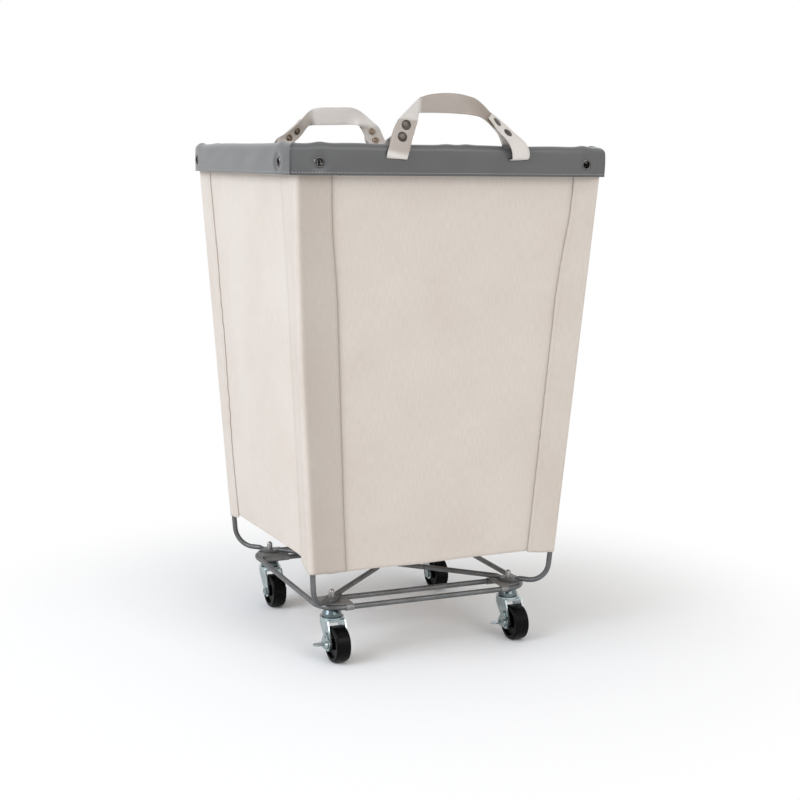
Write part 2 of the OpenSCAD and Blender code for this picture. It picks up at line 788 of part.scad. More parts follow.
// side brake: a stamped bell crank on the axle with a foot tab
module brake_lever(c) {
    boss_r = 8.5;
    lobe_r = 5.5;
    lobe = [8, 9.5];
    arm = [tab_reach, -3];
    rivet_h = 0.9;
    rivet_r = 2.3;
    color("#b4bdc4") at_caster(c) at_axle() difference() {
        union() {
            translate([-lever_out, 0, 0]) rotate([90, 0, 90]) linear_extrude(lever_t) {
                circle(boss_r);
                translate(lobe) circle(lobe_r);
                translate(arm) circle(lobe_r);
                polygon([[0, 0], lobe, arm]);
                bar_2d([0, 0], lobe, 2 * lobe_r);
                bar_2d([0, 0], arm, 2 * lobe_r);
                bar_2d(arm, lobe, 2 * lobe_r);
            }
            translate([-lever_out, arm[0], arm[1] - lever_t / 2]) linear_extrude(lever_t) {
                translate([-tab_len + lobe_r, -lobe_r]) square([tab_len - lobe_r + lever_t, 2 * lobe_r]);
                translate([-tab_len + lobe_r, 0]) circle(lobe_r);
            }
            translate([0, lobe[0], lobe[1]]) along_x(-lever_out - rivet_h, -lever_in, rivet_r);
        }
        along_x(-lever_out - past, -lever_in + past, axle_r + run_gap);
    }
}

top_hoop();
leg_frame_lower();
leg_frame_upper();
base_hoop();
cross_rod(-1);  // front_cross_rod
cross_rod(1);  // rear_cross_rod
corner_plate(FL);  // corner_plate_fl
corner_plate(FR);  // corner_plate_fr
corner_plate(RL);  // corner_plate_rl
corner_plate(RR);  // corner_plate_rr
rim_band();
side_panel(180);  // front_panel
side_panel(0);  // rear_panel
side_panel(90);  // left_panel
side_panel(270);  // right_panel
bottom_panel();
corner_sleeve(FL);  // corner_sleeve_fl
corner_sleeve(FR);  // corner_sleeve_fr
corner_sleeve(RL);  // corner_sleeve_rl
corner_sleeve(RR);  // corner_sleeve_rr
outer_grommets();
inner_grommets();
handle(180);  // front_handle
handle(0);  // rear_handle
handle_loops(180);  // front_handle_loops
handle_loops(0);  // rear_handle_loops
snap_caps(180);  // front_snap_caps
snap_caps(0);  // rear_snap_caps
snap_studs(180);  // front_snap_studs
snap_studs(0);  // rear_snap_studs
caster_stem(FL);  // caster_stem_fl
caster_stem(FR);  // caster_stem_fr
caster_stem(RL);  // caster_stem_rl
caster_stem(RR);  // caster_stem_rr
stem_cap_nuts();
stem_spacers();
caster_fork(FL);  // caster_fork_fl
caster_fork(FR);  // caster_fork_fr
caster_fork(RL);  // caster_fork_rl
caster_fork(RR);  // caster_fork_rr
swivel_balls(FL);  // swivel_balls_fl
swivel_balls(FR);  // swivel_balls_fr
swivel_balls(RL);  // swivel_balls_rl
swivel_balls(RR);  // swivel_balls_rr
wheel(FL);  // wheel_fl
wheel(FR);  // wheel_fr
wheel(RL);  // wheel_rl
wheel(RR);  // wheel_rr
wheel_bush(FL);  // wheel_bush_fl
wheel_bush(FR);  // wheel_bush_fr
wheel_bush(RL);  // wheel_bush_rl
wheel_bush(RR);  // wheel_bush_rr
axle(FL, true);  // axle_fl
axle(FR, true);  // axle_fr
axle(RL, false);  // axle_rl
axle(RR, false);  // axle_rr
brake_lever(FL);  // brake_lever_fl
brake_lever(FR);  // brake_lever_fr
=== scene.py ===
import json
import math

import bmesh
import bpy
import numpy as np
from mathutils import Matrix, Vector


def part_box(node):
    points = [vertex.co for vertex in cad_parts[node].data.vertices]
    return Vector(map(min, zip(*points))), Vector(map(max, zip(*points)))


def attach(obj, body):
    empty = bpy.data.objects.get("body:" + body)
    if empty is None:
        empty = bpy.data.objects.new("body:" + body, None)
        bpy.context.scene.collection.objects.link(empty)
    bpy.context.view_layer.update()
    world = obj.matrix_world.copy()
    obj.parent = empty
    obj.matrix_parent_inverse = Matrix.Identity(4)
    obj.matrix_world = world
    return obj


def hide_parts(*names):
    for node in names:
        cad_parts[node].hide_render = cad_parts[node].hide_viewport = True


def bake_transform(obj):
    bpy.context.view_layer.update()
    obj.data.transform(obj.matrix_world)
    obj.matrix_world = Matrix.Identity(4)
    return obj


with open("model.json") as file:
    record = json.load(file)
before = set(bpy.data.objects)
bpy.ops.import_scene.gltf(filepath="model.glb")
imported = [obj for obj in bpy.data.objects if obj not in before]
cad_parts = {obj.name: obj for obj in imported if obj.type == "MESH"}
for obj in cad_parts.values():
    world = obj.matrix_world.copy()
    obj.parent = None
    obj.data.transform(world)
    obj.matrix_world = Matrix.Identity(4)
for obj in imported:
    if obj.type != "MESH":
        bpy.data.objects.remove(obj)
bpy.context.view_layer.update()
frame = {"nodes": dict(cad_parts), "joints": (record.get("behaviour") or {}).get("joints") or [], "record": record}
nodes = frame["nodes"]
scene = bpy.context.scene
mm = 0.001
print("frame:", len(nodes), "nodes")


def linear(hexColour):
    # sRGB hex to linear, with alpha 1
    parts = [int(hexColour[i:i + 2], 16) / 255 for i in (1, 3, 5)]
    return tuple(c / 12.92 if c <= 0.04045 else ((c + 0.055) / 1.055) ** 2.4 for c in parts) + (1.0,)


def addNode(tree, kind, inputs=None, **settings):
    # kind: a shader node's name without its prefix, or any other node's full one; a node stands for its first output
    node = tree.nodes.new(kind if "Node" in kind else "ShaderNode" + kind)
    for name, value in settings.items():
        setattr(node, name, value)
    for socket, value in (inputs or {}).items():
        if isinstance(value, bpy.types.Node):
            value = value.outputs[0]
        if isinstance(value, bpy.types.NodeSocket):
            tree.links.new(value, node.inputs[socket])
        else:
            node.inputs[socket].default_value = value
    return node


def newMaterial(name, **shaderInputs):
    material = bpy.data.materials.new(name)
    material.use_nodes = True
    tree = material.node_tree
    shader = tree.nodes["Principled BSDF"]
    for socket, value in shaderInputs.items():
        shader.inputs[socket.replace("_", " ")].default_value = value
    return material, tree, shader


def blendColours(tree, factor, first, second):
    mix = addNode(tree, "Mix", {0: factor, 6: first, 7: second}, data_type="RGBA")
    return mix.outputs[2]


def dress(tree, shader, colour, roughness=None, relief=None):
    # joins colour, roughness and relief (height, strength, depth in mm) to the shader
    tree.links.new(colour, shader.inputs["Base Color"])
    if roughness is not None:
        tree.links.new(roughness, shader.inputs["Roughness"])
    if relief is not None:
        height, strength, depth = relief
        bump = addNode(tree, "Bump", {"Height": height, "Strength": strength, "Distance": depth * mm})
        tree.links.new(bump.outputs[0], shader.inputs["Normal"])


def addObject(name, data):
    thing = bpy.data.objects.new(name, data)
    scene.collection.objects.link(thing)
    return thing


def wovenHeight(tree, uv, threadPitch):
    # plain weave: warp and weft ridges take turns on a chessboard of crossings
    axes = addNode(tree, "SeparateXYZ", {0: uv})
    ridges = []
    for axis in (0, 1):
        turn = addNode(tree, "Math", {0: axes.outputs[axis], 1: math.pi / (threadPitch * mm)},
                       operation="MULTIPLY")
        wave = addNode(tree, "Math", {0: turn}, operation="SINE")
        ridges.append(addNode(tree, "Math", {0: wave}, operation="ABSOLUTE").outputs[0])
    board = addNode(tree, "TexChecker",
                    {"Vector": uv, "Color1": (1, 1, 1, 1), "Color2": (0, 0, 0, 1), "Scale": 1 / (threadPitch * mm)})
    pick = addNode(tree, "Mix", {0: board.outputs["Fac"], 2: ridges[0], 3: ridges[1]}, data_type="FLOAT")
    return pick.outputs[0]


# Cotton duck: plain woven, unbleached, matt, with slubs in the yarn and a faint mottle.
# The real yarns are about 0.6 mm apart; they are drawn twice as coarse so that they show.
# its paintedShadeColour is painted shade, laid on through the seamShade attribute
duckCloth = {"colour": "#e0d6cc", "warmColour": "#d6c9bd", "paintedShadeColour": "#968a7e", "threadPitch": 1.3,
             "slubWidth": 1.6, "slubLength": 14.0}


def clothMaterial(name, look, roughness, sheen, bumpDepth):
    material, tree, shader = newMaterial(name, Roughness=roughness, Sheen_Weight=sheen, Sheen_Roughness=0.5)
    shader.inputs["Specular IOR Level"].default_value = 0.25
    uv = addNode(tree, "UVMap", uv_map="UVMap").outputs[0]
    place = addNode(tree, "TexCoord").outputs["Object"]
    weave = wovenHeight(tree, uv, look["threadPitch"])
    slubScale = (1 / (look["slubWidth"] * mm), 1 / (look["slubLength"] * mm), 1)
    stretch = addNode(tree, "Mapping", {"Vector": uv, "Scale": slubScale})
    slubs = addNode(tree, "TexNoise", {"Vector": stretch, "Scale": 1.0, "Detail": 2.0})
    mottle = addNode(tree, "TexNoise", {"Vector": place, "Scale": 9.0, "Detail": 3.0, "Roughness": 0.55})
    mottleRange = addNode(tree, "MapRange", {0: mottle.outputs["Fac"], 1: 0.35, 2: 0.7, 3: 0.0, 4: 0.55})
    ground = blendColours(tree, mottleRange, linear(look["colour"]), linear(look["warmColour"]))
    slubRange = addNode(tree, "MapRange", {0: slubs.outputs["Fac"], 1: 0.3, 2: 0.75, 3: 1.03, 4: 0.95})
    weaveRange = addNode(tree, "MapRange", {0: weave, 1: 0.0, 2: 1.0, 3: 0.93, 4: 1.02})
    tone = addNode(tree, "Math", {0: slubRange, 1: weaveRange}, operation="MULTIPLY")
    toned = addNode(tree, "VectorMath", {0: ground, "Scale": tone}, operation="SCALE")
    # painted shade: the seamShade attribute blends the cloth towards its painted shade colour
    seam = addNode(tree, "Attribute", attribute_name="seamShade")
    colour = blendColours(tree, seam.outputs["Fac"], toned, linear(look["paintedShadeColour"]))
    height = addNode(tree, "Math", {0: slubs.outputs["Fac"], 1: 0.5, 2: weave}, operation="MULTIPLY_ADD")
    dress(tree, shader, colour, relief=(height.outputs[0], 0.6, bumpDepth))
    return material


canvas = clothMaterial("cottonDuckCanvas", duckCloth, 0.88, 0.08, 0.25)

# Webbing for the handles: doubled duck, whiter and closer than the bag.
# its paintedShadeColour is painted shade on the straps' faces and edges
handleCloth = {"colour": "#ebe6e1", "warmColour": "#e2d8cf", "paintedShadeColour": "#8f7f72", "threadPitch": 1.0,
               "slubWidth": 1.6, "slubLength": 10.0}
strapWeb = clothMaterial("cottonStrapWeb", handleCloth, 0.85, 0.1, 0.2)


# Sewing thread: twisted cotton, slightly lighter than the cloth, and a grey one for the rim.
def threadMaterial(name, colour):
    material, tree, shader = newMaterial(name, Roughness=0.7)
    place = addNode(tree, "TexCoord").outputs["Object"]
    twist = addNode(tree, "TexNoise", {"Vector": place, "Scale": 900.0, "Detail": 1.0})
    shade = addNode(tree, "MapRange", {0: twist.outputs["Fac"], 3: 0.8, 4: 1.1})
    toned = addNode(tree, "VectorMath", {0: linear(colour)[:3], "Scale": shade}, operation="SCALE")
    dress(tree, shader, toned.outputs[0])
    return material


canvasThread = threadMaterial("cottonThread", "#d9cfc3")
rimThread = threadMaterial("polyesterThreadGrey", "#b3b3b1")

# Vinyl-coated polyester cloth: calendered PVC skin, satin, with a fine leather-like grain of about 1 mm and broad,
# soft changes of tone at random. Its creaseShadeColour is painted shade, laid into the corner pleats and along the
# hem.
rimVinylLook = {"colour": "#5a5a5a", "creaseShadeColour": "#262627", "grain": 1.0, "sheen": 0.45, "sheenRoughness": 0.35}


def vinylMaterial():
    material, tree, shader = newMaterial("coatedPolyesterVinyl", Roughness=0.5, Sheen_Weight=rimVinylLook["sheen"],
                                         Sheen_Roughness=rimVinylLook["sheenRoughness"])
    shader.inputs["Specular IOR Level"].default_value = 0.5
    place = addNode(tree, "TexCoord").outputs["Object"]
    grain = addNode(tree, "TexVoronoi", {"Vector": place, "Scale": 1 / (rimVinylLook["grain"] * mm)})
    broad = addNode(tree, "TexNoise", {"Vector": place, "Scale": 14.0, "Detail": 2.0})
    lift = addNode(tree, "MapRange", {0: broad.outputs["Fac"], 1: 0.3, 2: 0.7, 3: 0.94, 4: 1.06})
    toned = addNode(tree, "VectorMath", {0: linear(rimVinylLook["colour"])[:3], "Scale": lift},
                    operation="SCALE")
    # painted shade: the seamShade attribute darkens the corner pleats and the hem
    fold = addNode(tree, "Attribute", attribute_name="seamShade")
    colour = blendColours(tree, fold.outputs["Fac"], toned, linear(rimVinylLook["creaseShadeColour"]))
    rough = addNode(tree, "MapRange", {0: broad.outputs["Fac"], 3: 0.3, 4: 0.46})
    dress(tree, shader, colour, rough.outputs[0], (grain.outputs["Distance"], 0.35, 0.06))
    return material


rimVinyl = vinylMaterial()


def metalMaterial(name, colour, darkColour, roughness, grainSize, metallic=1.0, wear=0.12):
    # one recipe for plated and drawn steel: colour patches, an even fine grain and uneven polish
    material, tree, shader = newMaterial(name, Metallic=metallic)
    place = addNode(tree, "TexCoord").outputs["Object"]
    fine = addNode(tree, "TexNoise", {"Vector": place, "Scale": 1 / (grainSize * mm), "Detail": 3.0})
    broad = addNode(tree, "TexNoise", {"Vector": place, "Scale": 55.0, "Detail": 2.0})
    mixed = addNode(tree, "Math", {0: fine.outputs["Fac"], 1: broad.outputs["Fac"]}, operation="MULTIPLY")
    patch = addNode(tree, "MapRange", {0: mixed, 1: 0.12, 2: 0.42, 3: 1.0, 4: 0.0})
    colour = blendColours(tree, patch, linear(colour), linear(darkColour))
    rough = addNode(tree, "MapRange", {0: fine.outputs["Fac"], 3: roughness - wear, 4: roughness + wear})
    dress(tree, shader, colour, rough.outputs[0], (fine.outputs["Fac"], 0.3, 0.02))
    return material


# Drawn steel rod, zinc sprayed: dull grey and satin. Rods run every way, so the grain is even.
frameSteel = metalMaterial("drawnSteelZincSprayed", "#7b7b7c", "#5f6060", 0.45, 1.6, metallic=0.75)
# Pressed sheet, the same zinc, a little flatter.
plateSteel = metalMaterial("pressedSheetZinc", "#959493", "#7b7a79", 0.5, 2.2, metallic=0.6)
# Bright zinc plate, blue passivated: near-mirror, cool, with faint clouds.
brightZinc = metalMaterial("brightZincPlate", "#c6cfd0", "#95a3a6", 0.24, 1.2, wear=0.08)
# The same plate on the cup above the fork, its colour darkened as a painted reflection of the sheet and the rods it
# mirrors.
cupZinc = metalMaterial("cupZincPaintedReflection", "#8a9496", "#566164", 0.2, 1.2, wear=0.08)
# Plain zinc on the cap nuts, tumbled to a soft grey.
capZinc = metalMaterial("tumbledZincCap", "#b9b6b5", "#8f8c8b", 0.3, 0.9)
spacerSteel = metalMaterial("turnedSteelSpacer", "#a6abb0", "#7c8186", 0.34, 0.8, metallic=0.95)
polishedBall = metalMaterial("polishedBallSteel", "#cfd3d6", "#b2b6ba", 0.12, 1.0, wear=0.04)
# Nickel-plated brass, rolled and tumbled: its colour is darkened below nickel's as a painted reflection of dark
# surroundings, so it renders as a dark mirror with bright rims.
eyeletNickel = metalMaterial("rolledNickelEyelet", "#7d7a79", "#454344", 0.16, 0.9, wear=0.06)
snapNickel = metalMaterial("blackNickelSnap", "#6f6862", "#3f3a37", 0.3, 0.8, wear=0.1)
snapBrass = metalMaterial("lacqueredBrassSnap", "#8f8070", "#4e4337", 0.34, 0.8, wear=0.1)


def plasticMaterial(name, colour, worn, roughness, grainSize):
    material, tree, shader = newMaterial(name, Roughness=roughness, IOR=1.5)
    shader.inputs["Specular IOR Level"].default_value = 0.1
    place = addNode(tree, "TexCoord").outputs["Object"]
    scuff = addNode(tree, "TexNoise", {"Vector": place, "Scale": 1 / (grainSize * mm), "Detail": 4.0})
    amount = addNode(tree, "MapRange", {0: scuff.outputs["Fac"], 1: 0.5, 2: 0.8, 3: 0.0, 4: 0.6})
    colourOut = blendColours(tree, amount, linear(colour), linear(worn))
    rough = addNode(tree, "MapRange", {0: scuff.outputs["Fac"], 3: roughness * 0.7, 4: roughness * 1.6})
    dress(tree, shader, colourOut, rough.outputs[0])
    return material


# Injection-moulded polypropylene wheel, glossy black, lightly scuffed on the tread.
wheelBlack = plasticMaterial("mouldedWheelBlack", "#030303", "#0a0a0b", 0.26, 6.0)
bushNylon = plasticMaterial("naturalNylonBush", "#cdc4ab", "#b9ae93", 0.45, 5.0)

finishes = {"frame_steel": frameSteel, "plate_steel": plateSteel, "rim_vinyl": rimVinyl, "canvas": canvas,
            "eyelet_nickel": eyeletNickel, "strap_web": strapWeb, "snap_dark": snapNickel, "snap_brass": snapBrass,
            "caster_zinc": brightZinc, "spacer_steel": spacerSteel, "ball_steel": polishedBall,
            "wheel_black": wheelBlack, "bush_nylon": bushNylon}
for node in nodes.values():
    for slot in node.material_slots:
        slot.material = finishes[slot.material.name.split(".")[0]]
for code in ("fl", "fr", "rl", "rr"):
    nodes["caster_stem_" + code].material_slots[0].material = cupZinc
nodes["stem_cap_nuts"].material_slots[0].material = capZinc
print("materials: done")


def makePiece(name, points, faces, material, uv=None, shade=None):
    # points in mm; uv in mm along the cloth; shade is painted shade, running 0 to 1 from none to the full painted
    # shade colour
    mesh = bpy.data.meshes.new(name)
    mesh.from_pydata((np.asarray(points, float) * mm).tolist(), [], [list(map(int, f)) for f in faces])
    if uv is not None:
        layer = mesh.uv_layers.new(name="UVMap")
        corners = np.zeros(len(mesh.loops), np.int32)
        mesh.loops.foreach_get("vertex_index", corners)
        layer.data.foreach_set("uv", (np.asarray(uv, float) * mm)[corners].ravel())
    if shade is not None:
        mesh.attributes.new("seamShade", "FLOAT", "POINT").data.foreach_set("value", np.asarray(shade, float).ravel())
    mesh.polygons.foreach_set("use_smooth", [True] * len(mesh.polygons))
    mesh.materials.append(material)
    return addObject(name, mesh)


def weld(piece, outward=False):
    # joins the two edges of a closed loop, and turns the faces of a closed body outwards
    work = bmesh.new()
    work.from_mesh(piece.data)
    bmesh.ops.remove_doubles(work, verts=work.verts, dist=0.02 * mm)
    if outward:
        bmesh.ops.recalc_face_normals(work, faces=work.faces)
    work.to_mesh(piece.data)
    work.free()


def gridFaces(rows, columns, first=0, skip=None):
    faces = []
    for r in range(rows - 1):
        for c in range(columns - 1):
            if skip is None or not skip(r, c):
                a = first + r * columns + c
                faces.append((a, a + columns, a + columns + 1, a + 1))
    return faces


def clearOfEyelets(points, faces, radius):
    # leaves out the faces that an eyelet goes through
    centres = np.array([points[list(f)].mean(0) for f in faces])
    keep = np.ones(len(faces), bool)
    for mount in frame["record"]["mounts"]:
        axis, spot = np.array(mount["axis"], float), np.array(mount["pos_m"]) / mm
        away = centres - spot
        along = away @ axis
        keep &= (np.abs(along) > 25) | (np.linalg.norm(away - along[:, None] * axis, axis=1) > radius)
    return [f for f, k in zip(faces, keep) if k]


def thicken(piece, thickness):
    wall = piece.modifiers.new("wall", "SOLIDIFY")
    wall.thickness = thickness * mm
    wall.offset = -1.0


def placeOn(side, across, out, height):
    # a side of the hamper: 0 front, 1 right, 2 rear, 3 left; across runs left to right seen from outside
    across, out, height = np.broadcast_arrays(across, out, height)
    x, y = ((across, -out), (out, across), (-across, out), (-out, -across))[side]
    return np.stack([x, y, height], -1)


def boxOf(node):
    low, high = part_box(node)
    return np.array(low) / mm, np.array(high) / mm


def follow(table, at):
    table = sorted(table)
    return np.interp(at, [p[0] for p in table], [p[1] for p in table])


def bakeNodes(source, tree, values, name):
    # runs a node tree on the source and keeps its result as a plain mesh
    modifier = source.modifiers.new("nodes", "NODES")
    modifier.node_group = tree
    identifiers = {item.name: item.identifier for item in tree.interface.items_tree
                   if item.item_type == "SOCKET" and item.in_out == "INPUT"}
    for label, value in values.items():
        modifier[identifiers[label]] = value
    bpy.context.view_layer.update()
    solid = source.evaluated_get(bpy.context.evaluated_depsgraph_get())
    mesh = bpy.data.meshes.new_from_object(solid)
    source.modifiers.remove(modifier)
    bpy.data.objects.remove(source)
    mesh.name = name
    return addObject(name, mesh)


def socketsFor(tree, inputs, output):
    for label, kind in inputs:
        tree.interface.new_socket(label, in_out="INPUT", socket_type=kind)
    tree.interface.new_socket(output, in_out="OUTPUT", socket_type="NodeSocketGeometry")


def stitchTree():
    # one small bead of thread at equal steps along each seam line
    tree = bpy.data.node_groups.new("stitchRow", "GeometryNodeTree")
    socketsFor(tree, [("Seam line", "NodeSocketGeometry"), ("Spacing", "NodeSocketFloat"),
                      ("Length", "NodeSocketFloat"), ("Thread", "NodeSocketFloat"),
                      ("Finish", "NodeSocketMaterial")], "Stitches")
    start = addNode(tree, "NodeGroupInput")
    line = addNode(tree, "GeometryNodeMeshToCurve", {0: start.outputs["Seam line"]})
    steps = addNode(tree, "GeometryNodeResampleCurve", {"Curve": line, "Length": start.outputs["Spacing"]},
                    mode="LENGTH")
    along = addNode(tree, "GeometryNodeInputTangent")
    turn = addNode(tree, "FunctionNodeAlignRotationToVector", {"Vector": along}, axis="Z")
    bead = addNode(tree, "GeometryNodeMeshUVSphere", {"Segments": 6, "Rings": 4, "Radius": 0.5})
    thread = start.outputs["Thread"]
    size = addNode(tree, "CombineXYZ", {0: thread, 1: thread, 2: start.outputs["Length"]})
    sewn = addNode(tree, "GeometryNodeInstanceOnPoints", {"Points": steps, "Instance": bead,
                                                          "Rotation": turn, "Scale": size})
    plain = addNode(tree, "GeometryNodeRealizeInstances", {0: sewn})
    finish = addNode(tree, "GeometryNodeSetMaterial", {0: plain, "Material": start.outputs["Finish"]})
    addNode(tree, "NodeGroupOutput", {0: finish})
    return tree


def fastenerTree():
    # one turned piece on each point, its axis along the point's aim
    tree = bpy.data.node_groups.new("fastenerSet", "GeometryNodeTree")
    socketsFor(tree, [("Places", "NodeSocketGeometry"), ("Piece", "NodeSocketObject"),
                      ("Finish", "NodeSocketMaterial")], "Fasteners")
    start = addNode(tree, "NodeGroupInput")
    aim = addNode(tree, "GeometryNodeInputNamedAttribute", {"Name": "aim"}, data_type="FLOAT_VECTOR")
    turn = addNode(tree, "FunctionNodeAlignRotationToVector", {"Vector": aim}, axis="Z")
    info = addNode(tree, "GeometryNodeObjectInfo", {"Object": start.outputs["Piece"]})
    shapes = next(s for s in info.outputs if s.name == "Geometry")
    setOn = addNode(tree, "GeometryNodeInstanceOnPoints", {"Points": start.outputs["Places"], "Instance": shapes,
                                                           "Rotation": turn})
    plain = addNode(tree, "GeometryNodeRealizeInstances", {0: setOn})
    finish = addNode(tree, "GeometryNodeSetMaterial", {0: plain, "Material": start.outputs["Finish"]})
    addNode(tree, "NodeGroupOutput", {0: finish})
    return tree


stitchRow = stitchTree()
fastenerSet = fastenerTree()


def sew(name, lines, finish, sizes):
    # lines: lists of points in mm, each one row of stitches
    points, edges = [], []
    for line in lines:
        first = len(points)
        points.extend(line)
        edges.extend((first + i, first + i + 1) for i in range(len(line) - 1))
    mesh = bpy.data.meshes.new(name)
    mesh.from_pydata((np.array(points) * mm).tolist(), edges, [])
    return bakeNodes(addObject(name, mesh), stitchRow, {
        "Spacing": sizes["stitchSpacing"] * mm, "Length": sizes["stitchLength"] * mm, "Thread": sizes["thread"] * mm,
        "Finish": finish}, name)


def turned(name, profile, segments, finish):
    # a turned piece about +Z from (radius, height) pairs in mm, closed on its axis or round a hole
    angles = np.linspace(0, 2 * math.pi, segments, endpoint=False)
    points, faces = [], []
    for radius, height in profile:
        points.extend((radius * math.cos(a), radius * math.sin(a), height) for a in angles)
    rings = len(profile)
    onAxis = profile[0][0] < 1e-6
    for r in range(rings - 1 if onAxis else rings):
        for c in range(segments):
            d = (c + 1) % segments
            a, b = r * segments, ((r + 1) % rings) * segments
            faces.append((a + c, a + d, b + d, b + c))
    piece = makePiece(name, points, faces, finish)
    weld(piece, outward=True)
    return piece


def fasten(name, template, places, finish):
    # places: (point in mm, axis) pairs
    mesh = bpy.data.meshes.new(name)
    mesh.from_pydata([tuple(np.array(p) * mm) for p, _ in places], [], [])
    mesh.attributes.new("aim", "FLOAT_VECTOR", "POINT").data.foreach_set(
        "vector", np.array([a for _, a in places], float).ravel())
    return bakeNodes(addObject(name, mesh), fastenerSet, {"Piece": template, "Finish": finish}, name)


def softWaves(across, height, seed, lengths, count=5):
    # a sum of slow waves, about 1 high, the same on every run
    draw = np.random.default_rng(seed)
    total = np.zeros(np.broadcast(across, height).shape)
    for _ in range(count):
        length = draw.uniform(*lengths)
        heading, phase = draw.uniform(0, math.pi), draw.uniform(0, 2 * math.pi)
        total += np.sin(2 * math.pi * (across * math.cos(heading) + height * math.sin(heading)) / length + phase)
    return total / math.sqrt(count)


canvasTop = boxOf("front_panel")[1][2]
sleeveLow = boxOf("corner_sleeve_fl")[0]
bandLow, bandHigh = boxOf("rim_band")
floorLow, floorHigh = boxOf("bottom_panel")
topHalf = -sleeveLow[1]
bag = {
    "wall": 1.5, "layersInside": 3.3, "cornerRadius": 24.0, "turnRadius": 6.5, "bulge": 1.6, "wave": 0.7,
    "columnsPerSide": 84, "cornerColumns": 8, "rows": 78, "floorRings": 14, "floorHeight": 139.5, "floorSag": 3.0,
    "floorRise": 1.6, "lowerHalf": 186, "edgeEnd": 187, "standIn": 1.7, "creaseWidth": 3.0, "creaseShare": 0.6,
    "pucker": 0.5, "puckerReach": 11, "eyeletClear": 7.5,
    # height of the lower edge along each side
    "lowerEdge": [
        [(-187, 134), (-156, 130.6), (-132, 131.8), (-86, 132.4), (-27, 131.6), (49, 133.6), (95, 133.9),
         (140, 134.4), (187, 133)],
        [(-187, 136), (-100, 139), (0, 141), (100, 140), (187, 136)],
        [(-187, 136), (-100, 139), (0, 140), (100, 139), (187, 137)],
        [(-187, 137), (-72, 141), (23, 144.7), (120, 147.5), (150, 147), (170, 141), (187, 134)]],
}
lean = (topHalf - floorHigh[0] - bag["layersInside"]) / (canvasTop - floorLow[2])


def sleeveHalf(height):
    return topHalf - (canvasTop - height) * lean


def bodyHalf(height):
    return sleeveHalf(height) - bag["standIn"]


# distance of each seam from the middle of its side, by height
seams = {
    (0, 0): [(655, 168.7), (620, 167.4), (585, 165.4), (540, 160.6), (501, 157), (370, 148.9), (234, 140.8),
             (137, 133.7)],
    (0, 1): [(657, 177.8), (608, 175), (545, 165.4), (493, 159.6), (354, 152.4), (240, 145.4), (138, 139.8)],
    (3, 0): [(646, 161.9), (529, 147.9), (425, 146.4), (273, 144.9), (142, 137.8)],
    (3, 1): [(652, 165), (499, 168), (368, 165), (190, 155), (142, 151)],
    (1, 0): [(652, 167), (500, 159), (350, 152), (230, 145), (137, 139)],
    (1, 1): [(652, 165), (500, 157), (350, 150), (230, 143), (137, 138)],
    (2, 0): [(652, 166), (500, 158), (350, 151), (230, 144), (137, 138)],
    (2, 1): [(652, 167), (500, 157), (350, 150), (230, 143), (137, 138)],
}
# painted shade: how dark each seam's crease is painted, and how much painted shade the doubled strip beside it gets
seamShades = {seam: (0.45, 0.04) for seam in seams}
seamShades.update({(0, 0): (0.6, 0.36), (3, 0): (0.22, 0.0), (3, 1): (0.5, 0.06)})


def seamAt(side, end, height):
    return follow(seams[(side, end)], height)


# how far each corner edge is pushed out by the folded cloth behind it: x, y at mid height, and its reach
cornerPush = {(-1, -1): (-2.6, 0.6)}
pushReach = 34.0


def settle(points):
    # moves the cloth near a corner with the corner's edge
    moved = np.array(points, float)
    x, y, z = moved[..., 0].copy(), moved[..., 1].copy(), moved[..., 2]
    rise = np.clip((z - sleeveLow[2]) / (bandLow[2] - sleeveLow[2]), 0, 1)
    bow = np.sin(math.pi * rise ** 1.3)
    for (sx, sy), (dx, dy) in cornerPush.items():
        away = np.hypot(x - sx * sleeveHalf(z), y - sy * sleeveHalf(z))
        pull = bow * np.exp(-(away / pushReach) ** 2)
        moved[..., 0] += dx * pull
        moved[..., 1] += dy * pull
    return moved


def wallOffset(side, across, height):
    # how far the cloth of one side stands out of its flat: a light belly, slow waves and seam puckers
    half = bodyHalf(height)
    inset = np.clip(1 - (np.abs(across) / half) ** 4, 0, 1)
    rise = np.clip((height - sleeveLow[2]) / (canvasTop - sleeveLow[2]), 0, 1)
    slack = np.sin(math.pi * rise) ** 0.7
    out = inset * slack * (bag["bulge"] + bag["wave"] * softWaves(across, height, 11 + side, (150, 320)))
    for end in (0, 1):
        line = seamAt(side, end, height)
        gap = np.abs(across * (1 if end else -1) - line)
        near = np.exp(-gap / bag["puckerReach"])
        out += near * slack * bag["pucker"] * softWaves(across * 0.3, height, 31 + side * 2 + end, (13, 26), 4)
    return out


